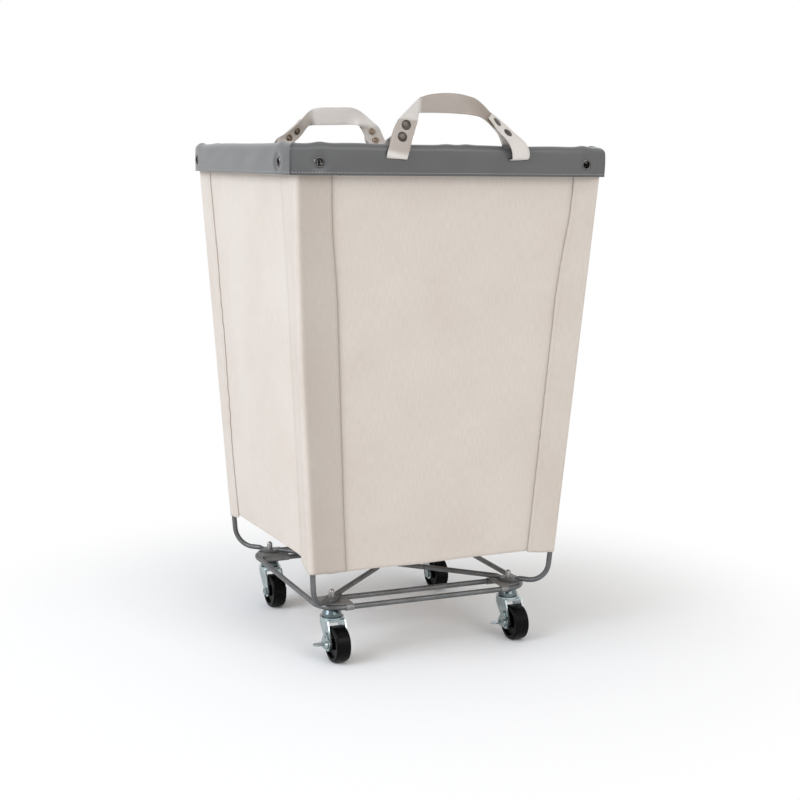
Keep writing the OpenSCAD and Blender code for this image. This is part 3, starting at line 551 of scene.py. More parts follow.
def makeBag():
    # one stop for each column of the cloth: its share of the side's flat, its angle round the corner, its side
    stops = []
    for side in range(4):
        stops += [(t, 0.0, side) for t in np.linspace(-1, 1, bag["columnsPerSide"])]
        stops += [(1.0, a, side) for a in np.linspace(0, math.pi / 2, bag["cornerColumns"] + 2)[1:-1]]
    stops.append((-1.0, 0.0, 0))
    radius, turn, lowerEdge = bag["cornerRadius"], bag["turnRadius"], bag["lowerEdge"]
    columns = len(stops)
    levels = np.linspace(0, 1, bag["rows"])
    turns = np.linspace(0, math.pi / 2, 7)[1:]
    shrink = np.linspace(0, 1, bag["floorRings"] + 1)[1:-1]
    rows = len(levels) + len(turns) + len(shrink)
    points = np.zeros((rows, columns, 3))
    uv = np.zeros((rows, columns, 2))
    shade = np.zeros((rows, columns))
    run = 0.0
    for c, (share, arc, side) in enumerate(stops):
        atCorner = arc > 0
        lowEdge = follow(lowerEdge[side], share * (bag["lowerHalf"] - radius) + radius * math.sin(arc))
        if atCorner:
            w = arc / (math.pi / 2)
            nextEdge = lowerEdge[(side + 1) % 4]
            lowEdge = (1 - w) * follow(lowerEdge[side], bag["edgeEnd"]) + w * follow(nextEdge, -bag["edgeEnd"])
        height = np.concatenate([canvasTop + levels * (lowEdge + turn - canvasTop),
                                 lowEdge + turn * (1 - np.sin(turns))])
        inward = np.concatenate([levels * 0, turn * (1 - np.cos(turns))])
        half = bodyHalf(np.maximum(height, lowEdge + turn))
        straight = half - radius
        across = share * straight
        stand = wallOffset(side, across, height) * (0 if atCorner else 1) - inward
        s = across + (radius + stand) * math.sin(arc)
        d = straight + (radius + stand) * math.cos(arc)
        points[:len(height), c] = placeOn(side, s, d, height)
        edge = points[len(height) - 1, c].copy()
        for i, f in enumerate(shrink):
            sag = bag["floorSag"] * math.sin(math.pi * f / 2)
            p = edge * (1 - f)
            p[2] = edge[2] + (bag["floorHeight"] - sag - edge[2]) * min(1, f * bag["floorRise"])
            points[len(height) + i, c] = p
        if c:
            run += np.linalg.norm(points[0, c, :2] - points[0, c - 1, :2])
        uv[:len(height), c, 0] = run * (half / bodyHalf(canvasTop))
        uv[:len(height), c, 1] = height
        uv[len(height):, c] = points[len(height):, c, :2]
        # painted shade in the crease beside each seam
        for end in (0, 1):
            inside = seamAt(side, end, height) - across * (1 if end else -1)
            fallOff = np.where(inside > -0.5, np.exp(-np.clip(inside, 0, None) / bag["creaseWidth"]), 1.0)
            dark = fallOff * seamShades[side, end][0] * bag["creaseShare"]
            shade[:len(height), c] = np.maximum(shade[:len(height), c], 0 if atCorner else dark)
    points, uv, shade = points.reshape(-1, 3), uv.reshape(-1, 2), shade.ravel()
    faces = gridFaces(rows, columns)
    last = (rows - 1) * columns
    middle = len(points)
    points = settle(np.vstack([points, points[last:last + columns - 1].mean(0)]))
    uv = np.vstack([uv, points[-1, :2]])
    shade = np.append(shade, 0.0)
    faces += [(middle, last + c, last + c + 1) for c in range(columns - 1)]
    faces = clearOfEyelets(points, faces, bag["eyeletClear"])
    piece = makePiece("bagShell", points, faces, canvas, uv, shade)
    weld(piece)
    thicken(piece, bag["wall"])
    return piece


bagShell = makeBag()
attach(bagShell, "hamper")
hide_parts("front_panel", "rear_panel", "left_panel", "right_panel", "bottom_panel")
print("bag shell: done")

sleeve = {"wall": 1.25, "radius": 5.3, "lift": 0.15, "rows": 130, "flatColumns": 15, "arcColumns": 8,
          "stitchInset": 5.5, "stitchSpacing": 4.2, "stitchLength": 3.1, "thread": 0.55, "threadStand": 0.35,
          "ridge": 0.35, "ridgeFrom": 3.5, "ridgeReach": 3.0, "tuck": 0.9, "tuckReach": 1.2, "creaseWidth": 0.9,
          "eyeletClear": 6.5,
          # height of the lower end at: edge on the first side, corner, edge on the next side
          "ends": {0: (134.4, 130.8, 137.0), 1: (138, 132, 138), 2: (138, 132, 138), 3: (148.5, 133.7, 133.6)}}


def makeSleeve(name, side):
    # wraps the corner at the right-hand end of this side and the left-hand end of the next one
    nextSide = (side + 1) % 4
    levels = np.linspace(0, 1, sleeve["rows"])
    fromEdge = np.concatenate([[0.0, 0.02, 0.06], np.linspace(0.12, 1, sleeve["flatColumns"] - 3)])
    first, corner, second = sleeve["ends"][side]
    columns = []
    for w in fromEdge:
        columns.append((side, w, 0.0, corner + (first - corner) * (1 - w) ** 1.5))
    for a in np.linspace(0, math.pi / 2, sleeve["arcColumns"] + 2)[1:-1]:
        columns.append((side, 1.0, a, corner))
    for w in fromEdge[::-1]:
        columns.append((nextSide, w, math.pi / 2, corner + (second - corner) * (1 - w) ** 1.5))
    points = np.zeros((len(levels), len(columns), 3))
    uv = np.zeros((len(levels), len(columns), 2))
    shade = np.zeros((len(levels), len(columns)))
    radius = sleeve["radius"]
    run = 0.0
    for c, (onSide, w, arc, low) in enumerate(columns):
        height = canvasTop + levels * (low - canvasTop)
        half = sleeveHalf(height)
        straight = half - radius
        if onSide == side:
            seam = seamAt(side, 1, height)
            across = seam + (straight - seam) * w
            lift = wallOffset(side, across, height)
        else:
            seam = seamAt(nextSide, 0, height)
            across = -(seam + (straight - seam) * w)
            lift = wallOffset(nextSide, across, height)
        toSeam = np.abs(np.abs(across) - seam)
        raised = np.exp(-((toSeam - sleeve["ridgeFrom"]) / sleeve["ridgeReach"]) ** 2) * sleeve["ridge"]
        tucked = -sleeve["tuck"] * np.exp(-toSeam / sleeve["tuckReach"])
        stand = lift * (1 - w ** 3) + raised + tucked + sleeve["lift"]
        if onSide == side:
            s = across + (radius + stand) * math.sin(arc)
            d = straight + (radius + stand) * math.cos(arc)
            points[:, c] = placeOn(side, s, d, height)
        else:
            points[:, c] = placeOn(nextSide, across, half + stand, height)
        if c:
            run += np.linalg.norm(points[0, c] - points[0, c - 1])
        uv[:, c, 0] = run + 0.4
        uv[:, c, 1] = height
        # painted shade: an even shade over the strip and a dark crease at its seam
        depth, stripShade = seamShades[(side, 1) if onSide == side else (nextSide, 0)]
        tone = stripShade * (0.85 + 0.3 * w) * (1 if w < 1 else 0.5)
        shade[:, c] = tone + depth * np.exp(-toSeam / sleeve["creaseWidth"]) * (1 if w < 1 else 0)
    rowLines = []
    for onSide, end, sign, low in ((side, 1, 1, first), (nextSide, 0, -1, second)):
        height = np.linspace(canvasTop - 4, max(low, 135) + 2, 140)
        across = sign * (seamAt(onSide, end, height) + sleeve["stitchInset"])
        out = sleeveHalf(height) + wallOffset(onSide, across, height) + sleeve["lift"] + sleeve["threadStand"]
        rowLines.append(settle(placeOn(onSide, across, out, height)))
    points = settle(points)
    faces = clearOfEyelets(points.reshape(-1, 3), gridFaces(len(levels), len(columns)), sleeve["eyeletClear"])
    piece = makePiece(name, points.reshape(-1, 3), faces, canvas, uv.reshape(-1, 2), shade.ravel())
    thicken(piece, sleeve["wall"])
    return piece, rowLines


sleeveLines = []
for side, code in ((0, "fr"), (1, "rr"), (2, "rl"), (3, "fl")):
    strip, lines = makeSleeve("cornerSleeve_" + code, side)
    sleeveLines += lines
    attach(strip, "hamper")
    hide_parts("corner_sleeve_" + code)
sleeveStitches = sew("sleeveStitches", sleeveLines, canvasThread, sleeve)
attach(sleeveStitches, "hamper")
print("corner sleeves: done")

# the band's depth is the hoop's thickness with both vinyl walls and the folds' slack
hoopLow, hoopHigh = boxOf("top_hoop")
bandDepth = 2 * (bandHigh[0] - (hoopHigh[0] - (hoopHigh[2] - hoopLow[2]) / 2))
rim = {"wall": 1.6, "depth": bandDepth, "faceOut": bandHigh[0], "low": bandLow[2], "high": bandHigh[2],
       # how far out the corner crease is at the left and right end of each side
       "flatHalf": 175.0, "creases": [(227.0, 222.7), (222.7, 222.7), (222.7, 222.7), (222.7, 227.0)],
       "creaseColumns": 22, "flatColumns": 90, "leastGap": 0.55, "fineRows": (666.5, 683.5),
       # from, to and step of the columns beside the eyelets and slots
       "fineColumns": [(-201, -179, 1.4), (-103, -71, 2.0), (73, 103, 2.0), (180.4, 202, 1.4)],
       "eyeletAcross": 190.0, "eyeletHeight": 675.0, "eyeletHole": 5.7, "flatInner": 8.0, "flatOuter": 15.0,
       # the lumps at the middle of the front's top: place, width, height
       "clampDepth": 0.7, "hump": 2.2, "humpWidth": 13.0, "lumps": [(-14, 11, 1.2), (14, 9, 1.1)],
       # the pleat and hem shade depths are painted shade in the corner creases and along the lower edge
       "wave": 0.35, "topWave": 0.5, "pleatShadeDepth": 0.7, "pleatWidth": 1.4, "hemShadeDepth": 0.25, "hemWidth": 0.8,
       "slotAcross": 87.0, "slotHalf": 14.2, "slotLow": 679.6, "slotHigh": 682.9,
       "stitchHeight": 662.4, "stitchSpacing": 4.2, "stitchLength": 3.0, "thread": 0.7}


def rimFall(side, across):
    # the corner crease nearest to a place along a side, and the place's share of the way there from the flat
    left, right = rim["creases"][side]
    crease = np.where(across < 0, left, right)
    return crease, np.clip((np.abs(across) - rim["flatHalf"]) / (crease - rim["flatHalf"]), 0, 1)


def rimPlan(side, across):
    # how far out the band stands at this place along a side
    crease, fall = rimFall(side, across)
    return rim["faceOut"] - (rim["faceOut"] - crease) * fall ** 2


def rimPoint(side, across, inset, height):
    fall = rimFall(side, across)[1]
    return placeOn(side, across - np.sign(across) * inset * fall, rimPlan(side, across) - inset, height)


# the band is clamped flat at an eyelet
eyeletFace = float(rimPlan(1, np.array(rim["eyeletAcross"]))) - rim["clampDepth"]


def makeRim():
    radius = rim["depth"] / 2
    topStart = rim["high"] - radius
    arc = np.linspace(0, math.pi, 15)[1:-1]
    fineLow, fineHigh = rim["fineRows"]
    fine = np.concatenate([np.linspace(rim["low"], fineLow - 1, 6), np.arange(fineLow, fineHigh, 1.0),
                           np.linspace(fineHigh + 1, topStart, 5)])
    slotRows = [rim["slotLow"], rim["slotHigh"]]
    clear = np.abs(fine[:, None] - slotRows).min(1) > 0.6
    fine = np.unique(np.concatenate([fine[clear], slotRows]))
    inset = np.concatenate([fine * 0, radius * (1 - np.cos(arc)), fine * 0 + rim["depth"]])
    height = np.concatenate([fine, topStart + radius * np.sin(arc), fine[::-1]])
    wallRows = len(fine)
    allPoints, allUv, allShade, faces = [], [], [], []
    profileRun = np.concatenate([[0], np.cumsum(np.hypot(np.diff(inset), np.diff(height)))])
    for side in range(4):
        left, right = rim["creases"][side]
        flatEnd = rim["flatHalf"]
        slotEdges = [s * (rim["slotAcross"] + e * rim["slotHalf"]) for s in (-1, 1) for e in (-1, 1)]
        creaseColumns = rim["creaseColumns"]
        parts = [np.linspace(-left, -flatEnd, creaseColumns), np.linspace(flatEnd, right, creaseColumns),
                 np.linspace(-flatEnd, flatEnd, rim["flatColumns"]), slotEdges]
        parts += [np.arange(*columns) for columns in rim["fineColumns"]]
        across = np.unique(np.round(np.concatenate(parts), 2))
        keep = [0]
        fixed = set(np.round(slotEdges, 2)) | {round(-left, 2), round(right, 2)}
        for i in range(1, len(across)):
            if across[i] - across[keep[-1]] > rim["leastGap"]:
                keep.append(i)
            elif across[i] in fixed:
                keep[-1] = i
        across = across[keep]
        alongGrid, insetGrid = np.meshgrid(across, inset)
        heightGrid = np.meshgrid(across, height)[1]
        lift = np.clip((heightGrid - rim["low"]) / (rim["high"] - rim["low"]), 0, 1)
        humps = [np.exp(-((alongGrid - e * rim["eyeletAcross"]) / rim["humpWidth"]) ** 2) for e in (-1, 1)]
        hump = rim["hump"] * sum(humps)
        waves = rim["wave"] * softWaves(alongGrid, heightGrid * 2, 71 + side, (60, 140))
        if side == 0:
            hump += sum(tall * np.exp(-((alongGrid - at) / wide) ** 2) for at, wide, tall in rim["lumps"])
        topWaves = rim["topWave"] * softWaves(alongGrid, alongGrid * 0, 81 + side, (90, 200))
        heightGrid = heightGrid + lift ** 3 * (hump + topWaves)
        outer = insetGrid < radius
        push = waves * np.sin(math.pi * np.clip(lift, 0, 1)) * np.where(outer, 1, -1)
        for e in (-1, 1):
            away = np.hypot(alongGrid - e * rim["eyeletAcross"], heightGrid - rim["eyeletHeight"])
            held = np.clip((rim["flatOuter"] - away) / (rim["flatOuter"] - rim["flatInner"]), 0, 1)
            held = held * held * (3 - 2 * held)
            push = push * (1 - held) + held * (rimPlan(side, alongGrid) - eyeletFace)
        points = rimPoint(side, alongGrid, insetGrid + push, heightGrid)
        first = sum(len(p) for p in allPoints)
        # painted shade: a thin dark line just above the lower edge, and darkening into each corner crease, on the
        # outer face only
        hem = np.exp(-((heightGrid - rim["low"] - 1.0) / rim["hemWidth"]) ** 2) * outer * rim["hemShadeDepth"]
        toCrease = np.where(alongGrid < 0, left + alongGrid, right - alongGrid)
        shade = np.maximum(hem, rim["pleatShadeDepth"] * np.exp(-toCrease / rim["pleatWidth"]) * outer)
        allPoints.append(points.reshape(-1, 3))
        allUv.append(np.stack([alongGrid, np.broadcast_to(profileRun[:, None], alongGrid.shape)], -1).reshape(-1, 2))
        allShade.append(shade.ravel())

        def cutAway(r, c):
            if wallRows - 1 <= r < len(inset) - wallRows:
                return False
            a, h = abs(across[c] + across[c + 1]) / 2, (height[r] + height[r + 1]) / 2
            if math.hypot(a - rim["eyeletAcross"], h - rim["eyeletHeight"]) < rim["eyeletHole"]:
                return True
            inSlot = abs(a - rim["slotAcross"]) < rim["slotHalf"] and rim["slotLow"] < h < rim["slotHigh"]
            return side in (0, 2) and inSlot

        faces += [f[::-1] for f in gridFaces(len(inset), len(across), first, cutAway)]
    piece = makePiece("rimBand", np.vstack(allPoints), faces, rimVinyl, np.vstack(allUv), np.concatenate(allShade))
    weld(piece)
    piece.data.set_sharp_from_angle(angle=math.radians(32))
    thicken(piece, rim["wall"])
    return piece


rimBand = makeRim()
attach(rimBand, "hamper")
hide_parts("rim_band")

rimLines = []
for side in range(4):
    left, right = rim["creases"][side]
    across = np.linspace(-left + 3, right - 3, 160)
    rimLines.append(rimPoint(side, across, np.full_like(across, -0.25), np.full_like(across, rim["stitchHeight"])))
rimStitches = sew("rimStitches", rimLines, rimThread, rim)
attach(rimStitches, "hamper")
print("rim band: done")

eyelet = {"outer": 7.2, "hole": 4.6, "stand": 1.0, "barrel": 5.5, "segments": 40}
ringProfile = [(eyelet["hole"], -eyelet["barrel"]), (eyelet["hole"], -0.4), (eyelet["hole"] + 0.15, 0.35),
               (eyelet["hole"] + 0.6, 0.85), (eyelet["hole"] + 1.25, eyelet["stand"]), (eyelet["outer"] - 0.6, 0.75),
               (eyelet["outer"] - 0.15, 0.35), (eyelet["outer"], -0.1), (eyelet["outer"] - 0.5, -0.35),
               (eyelet["hole"] + 0.5, -0.5), (eyelet["hole"] + 0.5, -eyelet["barrel"])]
ringTemplate = turned("eyeletTemplate", ringProfile, eyelet["segments"], eyeletNickel)
outerPlaces, innerPlaces = [], []
for mount in frame["record"]["mounts"]:
    if mount["kind"] == "bore" and mount["name"].startswith("eyelet"):
        axis = np.array(mount["axis"], float)
        spot = np.array(mount["pos_m"]) / mm
        beside = spot * (1 - np.abs(axis))
        outerPlaces.append((beside + axis * eyeletFace, axis))
        innerPlaces.append((beside + axis * (eyeletFace - rim["depth"]), -axis))
outerEyelets = fasten("outerEyelets", ringTemplate, outerPlaces, eyeletNickel)
innerEyelets = fasten("innerEyelets", ringTemplate, innerPlaces, eyeletNickel)
for ring, node in ((outerEyelets, "outer_grommets"), (innerEyelets, "inner_grommets")):
    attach(ring, "hamper")
    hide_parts(node)
bpy.data.objects.remove(ringTemplate)
print("eyelets: done")

# Stations of each strap: its left or upper edge and its right or lower edge, x, y, z in mm.
# The strap starts as the outer tail, goes through its slot, up inside the rim, over and down again.
strap = {"thickness": 1.7, "step": 1.8, "bulge": 0.3, "ripple": 0.35, "tailRun": 48.0, "tailFade": 6,
         "edgeTone": 0.25, "edgeInset": 2.4, "stitchSpacing": 3.6, "stitchLength": 2.6, "thread": 0.45}
frontStations = [
    (-84.3, -230.2, 729.7, -56.9, -227.8, 727.8), (-90.2, -230.5, 719.1, -61.3, -230.5, 717.7),
    (-94.4, -232, 708.5, -65.4, -232, 706.4), (-98.3, -235, 696, -69.8, -235, 692.6),
    (-100.9, -236, 688.5, -73.3, -236, 682.6), (-101, -234.8, 685, -73.8, -234.8, 679.9),
    (-100.6, -231.5, 682.2, -73.6, -231.5, 680.4), (-100.6, -223, 681.4, -73.4, -223, 681),
    (-100.6, -214.5, 681.6, -73.4, -214.5, 681.2), (-100.4, -210.7, 685.2, -73.2, -210.7, 684),
    (-98.2, -210.8, 693.5, -71.2, -210.8, 690), (-94.8, -214.5, 703.4, -68.4, -214.5, 698),
    (-91.9, -225.5, 709.2, -62.8, -225.5, 707.2), (-89.2, -228.2, 719.1, -60.2, -228.2, 717.8),
    (-83.4, -228.7, 729.8, -56, -225.7, 727.9), (-77, -235.3, 738.7, -53.4, -221.7, 734.3),
    (-70, -239.5, 747.3, -52.9, -221.5, 737.3), (-61.3, -240, 755.7, -53.4, -224, 738.3),
    (-56, -238.5, 757.6, -49.5, -224.5, 738.5), (-43.6, -235.5, 760.9, -38.3, -224.5, 738.8),
    (-28.4, -232.5, 763, -24.3, -224.5, 738.8), (-10.9, -231, 763.5, -8.1, -223, 738.7),
    (6.6, -230, 761.9, 7.3, -222, 738.1), (27.2, -220, 758.1, 17.8, -230, 736.9),
    (39.9, -216.5, 751.2, 27.3, -232.5, 735), (49.5, -215, 743, 35, -233, 731.5),
    (58.1, -215.6, 736.1, 40.7, -234.8, 726.5), (66.6, -218, 729.2, 47.7, -235.6, 719.4),
    (75.3, -219.9, 721, 54.3, -235.3, 711.9), (87.1, -217.5, 710.9, 62.7, -227.5, 702.8),
    (96.5, -213.5, 700.5, 70.5, -216, 695.5), (100, -210.8, 690.5, 73, -211.2, 689),
    (100.6, -210.9, 684.5, 73.5, -210.9, 684.2), (100.6, -214.5, 681.5, 73.4, -214.5, 681.3),
    (100.6, -223, 681.4, 73.4, -223, 681), (101.2, -231.5, 682.2, 75, -231.5, 680.6),
    (101.4, -233.8, 686.3, 74.6, -237.8, 681.4), (99.8, -236.3, 691.2, 73.1, -240.5, 686),
    (97.8, -236.6, 696.4, 71.2, -242.6, 691.9), (93.5, -234.2, 703.3, 68.1, -243.8, 698.5),
    (86.3, -229.6, 710.9, 62.9, -243.4, 705.6), (78.7, -224, 718.8, 57.2, -240, 712.6),
    (70.3, -220.2, 726.8, 50.7, -238.2, 719.4), (62, -217.5, 733.9, 44.5, -237.5, 726.7),
    (53.5, -216.1, 739.8, 38.8, -237.1, 733.6)]
rearStations = [
    (-58, 217, 739, -39.7, 235, 730.1), (-66, 217, 730.5, -44, 233.1, 726.6),
    (-74.9, 217.3, 722.9, -50.9, 230.2, 718.5), (-85.1, 216.9, 715.3, -59.8, 225.9, 709.4),
    (-95.8, 219.7, 707.6, -69.2, 222.1, 701.5), (-100, 236, 692.5, -73, 235.6, 691),
    (-100.8, 235.6, 685.2, -73.6, 235.2, 684.6), (-100.6, 232, 681.9, -73.4, 232, 681.5),
    (-100.6, 223, 681.4, -73.4, 223, 681.1), (-100.6, 214.5, 681.6, -73.4, 214.5, 681.2),
    (-100.6, 210.8, 685, -73.4, 210.8, 684.6), (-99, 210.6, 693.5, -72, 211, 691.5),
    (-95.4, 213.8, 708.2, -68.8, 218.2, 702.1), (-84.5, 215, 715.1, -59.1, 224, 709.3),
    (-74.1, 215.6, 722.4, -50, 228.4, 718), (-65, 215.4, 729.7, -43, 231.6, 725.8),
    (-57, 215.5, 738, -38.7, 233.5, 729.1), (-47, 219, 747.9, -35.3, 231, 729.9),
    (-34.4, 228, 754.6, -30.6, 222, 730.2), (-22.3, 227, 757.3, -20.4, 223, 730.5),
    (2.6, 227, 758.2, 1.2, 223, 731.1), (27.3, 225.9, 758.6, 20.9, 224.1, 731.8),
    (41.9, 227.8, 754.8, 30.9, 221.8, 732.1), (55.5, 231.2, 746.9, 36.8, 217.6, 731.7),
    (67, 228.2, 736.8, 41.9, 219, 729.8), (73.5, 221.5, 730, 46.4, 223.3, 725.2),
    (78.4, 219, 719.8, 50.7, 222, 715.9), (84, 216.5, 708, 53.8, 218.5, 705.7),
    (96, 212.6, 696.5, 69.5, 212.6, 694.5), (100, 210.8, 686.5, 73, 210.8, 685.5),
    (100.6, 214.5, 681.5, 73.4, 214.5, 681.3), (100.6, 223, 681.4, 73.4, 223, 681.1),
    (100.8, 232, 681.9, 73.6, 232, 681.6), (101, 235.6, 685.4, 73.8, 235.6, 684.8),
    (98.6, 235.6, 693, 71.8, 235.6, 691.6), (84.1, 223.4, 707.5, 53.9, 225.4, 705.2),
    (78.6, 221, 719.4, 50.9, 224, 715.6), (73.7, 223.5, 729.7, 46.6, 225.3, 724.9),
    (66.5, 230, 736, 41.5, 220.7, 729)]


def smoothPath(stations, step):
    # a Catmull-Rom curve through the stations, then equal steps along it
    p = np.array(stations, float)
    p = np.vstack([2 * p[0] - p[1], p, 2 * p[-1] - p[-2]])
    t = np.linspace(0, 1, 10, endpoint=False)[:, None]
    parts = []
    for i in range(len(p) - 3):
        a, b, c, d = p[i:i + 4]
        parts.append(0.5 * (2 * b + (c - a) * t + (2 * a - 5 * b + 4 * c - d) * t ** 2
                            + (3 * b - a - 3 * c + d) * t ** 3))
    path = np.vstack(parts + [p[-2:-1]])
    middle = (path[:, :3] + path[:, 3:]) / 2
    run = np.concatenate([[0], np.cumsum(np.linalg.norm(np.diff(middle, axis=0), axis=1))])
    even = np.linspace(0, run[-1], int(run[-1] / step) + 1)
    return np.stack([np.interp(even, run, path[:, k]) for k in range(path.shape[1])], 1), even


def ramp(value, start, width):
    return np.clip((value - start) / width, 0, 1)


def strapFrame(stations):
    path, run = smoothPath(stations, strap["step"])
    left, right = path[:, :3], path[:, 3:]
    centre = (left + right) / 2
    tangent = np.gradient(centre, axis=0)
    tangent /= np.linalg.norm(tangent, axis=1)[:, None]
    across = right - left
    half = np.linalg.norm(across, axis=1)[:, None] / 2
    across /= 2 * half
    normal = np.cross(tangent, across)
    normal /= np.linalg.norm(normal, axis=1)[:, None]
    return centre, run, half, across, normal


def makeStrap(name, stations, faceShade, tailTone):
    # faceShade: painted shade on one face, from the x and z of each place along the strap; tailTone darkens the
    # tail's other face and edgeTone both edges
    centre, run, half, across, normal = strapFrame(stations)
    columns = (-1.0, -0.93, -0.6, -0.2, 0.2, 0.6, 0.93, 1.0)
    section = [(a, 0.3 if abs(a) == 1 else 0.5) for a in columns]
    section += [(a, -t) for a, t in section[::-1]]
    ring = len(section)
    points = np.zeros((len(run), ring, 3))
    uv = np.zeros((len(run), ring, 2))
    shade = np.zeros((len(run), ring))
    ripple = strap["ripple"] * softWaves(run, run * 0, 5, (16, 40))
    for k, (a, t) in enumerate(section):
        crown = strap["bulge"] * (1 - a * a)
        stand = t * strap["thickness"] + crown + ripple * a * 0.5
        points[:, k] = centre + across * half * a + normal * stand[:, None]
        uv[:, k] = np.stack([a * half[:, 0] + 50, run], 1)
        # painted shade on each face and along the edges, through the seamShade attribute
        tail = tailTone * ramp(-run, -strap["tailRun"], strap["tailFade"])
        tone = faceShade(centre[:, 0], centre[:, 2]) if t < 0 else tail
        shade[:, k] = tone + strap["edgeTone"] * ramp(abs(a), 0.93, 0.07)
    faces = []
    for r in range(len(run) - 1):
        for k in range(ring):
            m = (k + 1) % ring
            faces.append((r * ring + k, r * ring + m, (r + 1) * ring + m, (r + 1) * ring + k))
    faces.append(tuple(range(ring)))
    faces.append(tuple(range((len(run) - 1) * ring, len(run) * ring))[::-1])
    piece = makePiece(name, points.reshape(-1, 3), faces, strapWeb, uv.reshape(-1, 2), shade.ravel())
    weld(piece, outward=True)
    piece.data.set_sharp_from_angle(angle=math.radians(50))
    lines = []
    for sign in (-1, 1):
        edge = centre + across * (half - strap["edgeInset"]) * sign
        for face in (-1, 1):
            lines.append(edge + normal * (face * (strap["thickness"] / 2 + 0.05) + 0.2))
    return piece, lines, (centre, across, normal)


def turnsWith(piece, handleBody):
    hinge = next(j for j in frame["joints"] if j["child"] == handleBody)
    x, y, z = hinge["pos_m"]
    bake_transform(piece)


snap = {"segments": 28, "lift": 0.95}
capProfile = [(0, 1.55), (2.6, 1.5), (4.4, 1.25), (5.4, 0.85), (6.0, 0.7), (6.5, 0.3), (6.4, -0.2), (0, -0.2)]
socketProfile = [(0, -1.2), (1.5, -1.2), (1.7, 0.9), (2.3, 1.3), (2.9, 0.9), (3.2, 0.4), (4.8, 0.35), (5.4, 0.6),
                 (5.6, 0.2), (5.5, -0.3), (0, -1.3)]
capTemplate = turned("capTemplate", capProfile, snap["segments"], snapNickel)
socketTemplate = turned("socketTemplate", socketProfile, snap["segments"], snapBrass)


def snapPlaces(shape, heights, outSign, fromStart, onTail):
    # finds the strap's own place at each height, on the tail or on the run inside it
    path, across, normal = shape
    count = len(path)
    order = np.arange(count) if fromStart else np.arange(count)[::-1]
    lowest = order[np.argmin(path[order[:count // 3], 2])]
    turnAt = list(order).index(lowest)
    part = order[:turnAt] if onTail else order[turnAt + 6:count // 2]
    found = []
    for height in heights:
        i = part[np.argmin(np.abs(path[part, 2] - height))]
        face = normal[i] * (1 if normal[i][1] * outSign > 0 else -1)
        if not onTail:
            face = -face
        found.append((path[i, :3] + face * snap["lift"], face))
    return found


def archPaintedShade(x, z):
    # painted shade darkens the front strap's arch, more towards its right
    return (0.62 + 0.16 * ramp(x, 5, 30)) * ramp(x, -58, 5) * ramp(-x, -70, 14) * ramp(z, 722, 8)


def doubledEndShade(x, z):
    # painted shade darkens the doubled ends, which let no light through, against the single strap
    return 0.36 * ramp(np.abs(x - 6), 42, 8) * ramp(-z, -735, 8)


for name, stations, handleBody, outSign, snapHeights in (
        ("front", frontStations, "front_handle", -1, ((721.8, 707.4), (728.0, 715.0))),
        ("rear", rearStations, "rear_handle", 1, ((720.0, 710.0), (721.3, 708.2)))):
    faceShade, tailTone = (archPaintedShade, 0.58) if name == "front" else (doubledEndShade, 0.1)
    band, lines, shape = makeStrap(name + "Strap", stations, faceShade, tailTone)
    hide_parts(name + "_handle", name + "_handle_loops")
    turnsWith(band, handleBody)
    seamsOn = sew(name + "StrapStitches", lines, canvasThread, strap)
    turnsWith(seamsOn, handleBody)
    caps, sockets = [], []
    for fromStart, heights in zip((True, False), snapHeights):
        caps += snapPlaces(shape, heights, outSign, fromStart, True)
        sockets += snapPlaces(shape, heights, outSign, fromStart, False)
    capSet = fasten(name + "SnapCaps", capTemplate, caps, snapNickel)
    socketSet = fasten(name + "SnapSockets", socketTemplate, sockets, snapBrass)
    for piece, node, slotName in ((capSet, "_snap_caps", "snap_dark"), (socketSet, "_snap_studs", "snap_brass")):
        turnsWith(piece, handleBody)
        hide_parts(name + node)
bpy.data.objects.remove(capTemplate)
bpy.data.objects.remove(socketTemplate)
print("handles: done")

studio = {"ambient": 0.62, "floorHalf": 9000, "floorColour": "#fbfbfb", "fadeStart": 0.24, "fadeEnd": 0.75}


def backdropFactor(tree):
    path = addNode(tree, "LightPath")
    first = addNode(tree, "Math", {0: path.outputs["Is Camera Ray"], 1: path.outputs["Is Glossy Ray"]},
                    operation="MAXIMUM")
    return addNode(tree, "Math", {0: first, 1: path.outputs["Is Transmission Ray"]},
                   operation="MAXIMUM").outputs[0]


world = bpy.data.worlds.new("studioAir")
scene.world = world
world.use_nodes = True
sky = world.node_tree
sky.nodes.clear()
soft = addNode(sky, "Background", {"Color": (1, 1, 1, 1), "Strength": studio["ambient"]})
white = addNode(sky, "Background", {"Color": (1, 1, 1, 1), "Strength": 1.0})
choose = addNode(sky, "MixShader", {0: backdropFactor(sky), 1: soft, 2: white})
addNode(sky, "OutputWorld", {0: choose})

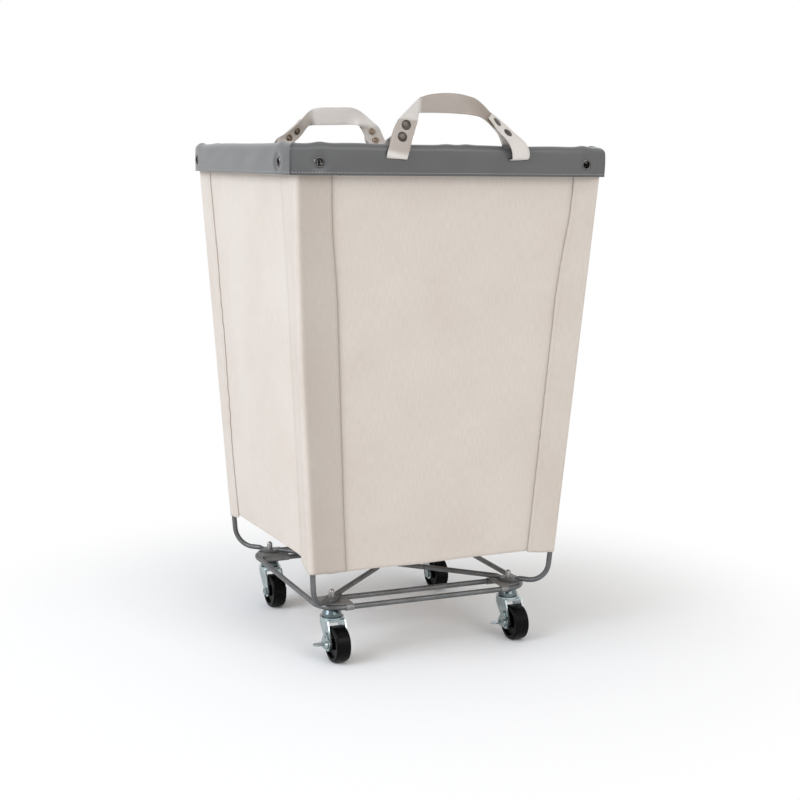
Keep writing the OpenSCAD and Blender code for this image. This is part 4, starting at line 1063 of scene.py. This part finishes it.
floorMaterial, floorTree, floorShader = newMaterial("paperSweep", Roughness=0.9)
floorShader.inputs["Base Color"].default_value = linear(studio["floorColour"])
floorShader.inputs["Specular IOR Level"].default_value = 0.1
floorPlace = addNode(floorTree, "TexCoord").outputs["Object"]
reach = addNode(floorTree, "VectorMath", {0: floorPlace}, operation="LENGTH")
fadeRange = {0: reach.outputs["Value"], 1: studio["fadeStart"], 2: studio["fadeEnd"]}
fade = addNode(floorTree, "MapRange", fadeRange, interpolation_type="SMOOTHSTEP")
seen = addNode(floorTree, "Math", {0: fade, 1: backdropFactor(floorTree)}, operation="MULTIPLY")
glow = addNode(floorTree, "Emission", {"Color": (1, 1, 1, 1), "Strength": 1.0})
floorMix = addNode(floorTree, "MixShader", {0: seen, 1: floorShader, 2: glow})
floorTree.links.new(floorMix.outputs[0], floorTree.nodes["Material Output"].inputs[0])
reachOut = studio["floorHalf"]
floorCorners = [(x * reachOut, y * reachOut, 0) for x, y in ((-1, -1), (1, -1), (1, 1), (-1, 1))]
floor = makePiece("paperFloor", floorCorners, [(0, 1, 2, 3)], floorMaterial)


def addLamp(name, place, target, size, power, colour="#ffffff"):
    lamp = bpy.data.lights.new(name, "AREA")
    lamp.shape = "RECTANGLE"
    lamp.size, lamp.size_y = size
    lamp.energy = power
    lamp.color = linear(colour)[:3]
    holder = addObject(name, lamp)
    holder.location = place
    holder.rotation_euler = (Vector(target) - Vector(place)).to_track_quat("-Z", "Y").to_euler()


addLamp("leftWindow", (-3.2, -0.6, 2.2), (0, 0, 0.4), (2.4, 2.0), 78, "#ecf4ff")
addLamp("frontWindow", (0.9, -3.4, 2.4), (0, 0, 0.4), (2.2, 1.6), 34)

view = {"focal": 66.276, "yaw": 23.26, "pitch": 9.31, "roll": 0.66, "place": (-0.8242, -1.9667, 0.6806)}
yaw, pitch, roll = (math.radians(view[k]) for k in ("yaw", "pitch", "roll"))
ahead = Vector((math.sin(yaw) * math.cos(pitch), math.cos(yaw) * math.cos(pitch), -math.sin(pitch)))
level = Vector((math.cos(yaw), -math.sin(yaw), 0))
upward = level.cross(ahead)
right = level * math.cos(roll) + upward * math.sin(roll)
up = upward * math.cos(roll) - level * math.sin(roll)
lens = bpy.data.cameras.new("view")
lens.lens = view["focal"]
lens.sensor_width = 36
lens.clip_end = 50
camera = addObject("view", lens)
turn = Matrix((right, up, -ahead)).transposed().to_4x4()
camera.matrix_world = Matrix.Translation(view["place"]) @ turn
scene.camera = camera
scene.view_settings.view_transform = "Standard"
print("studio: done")
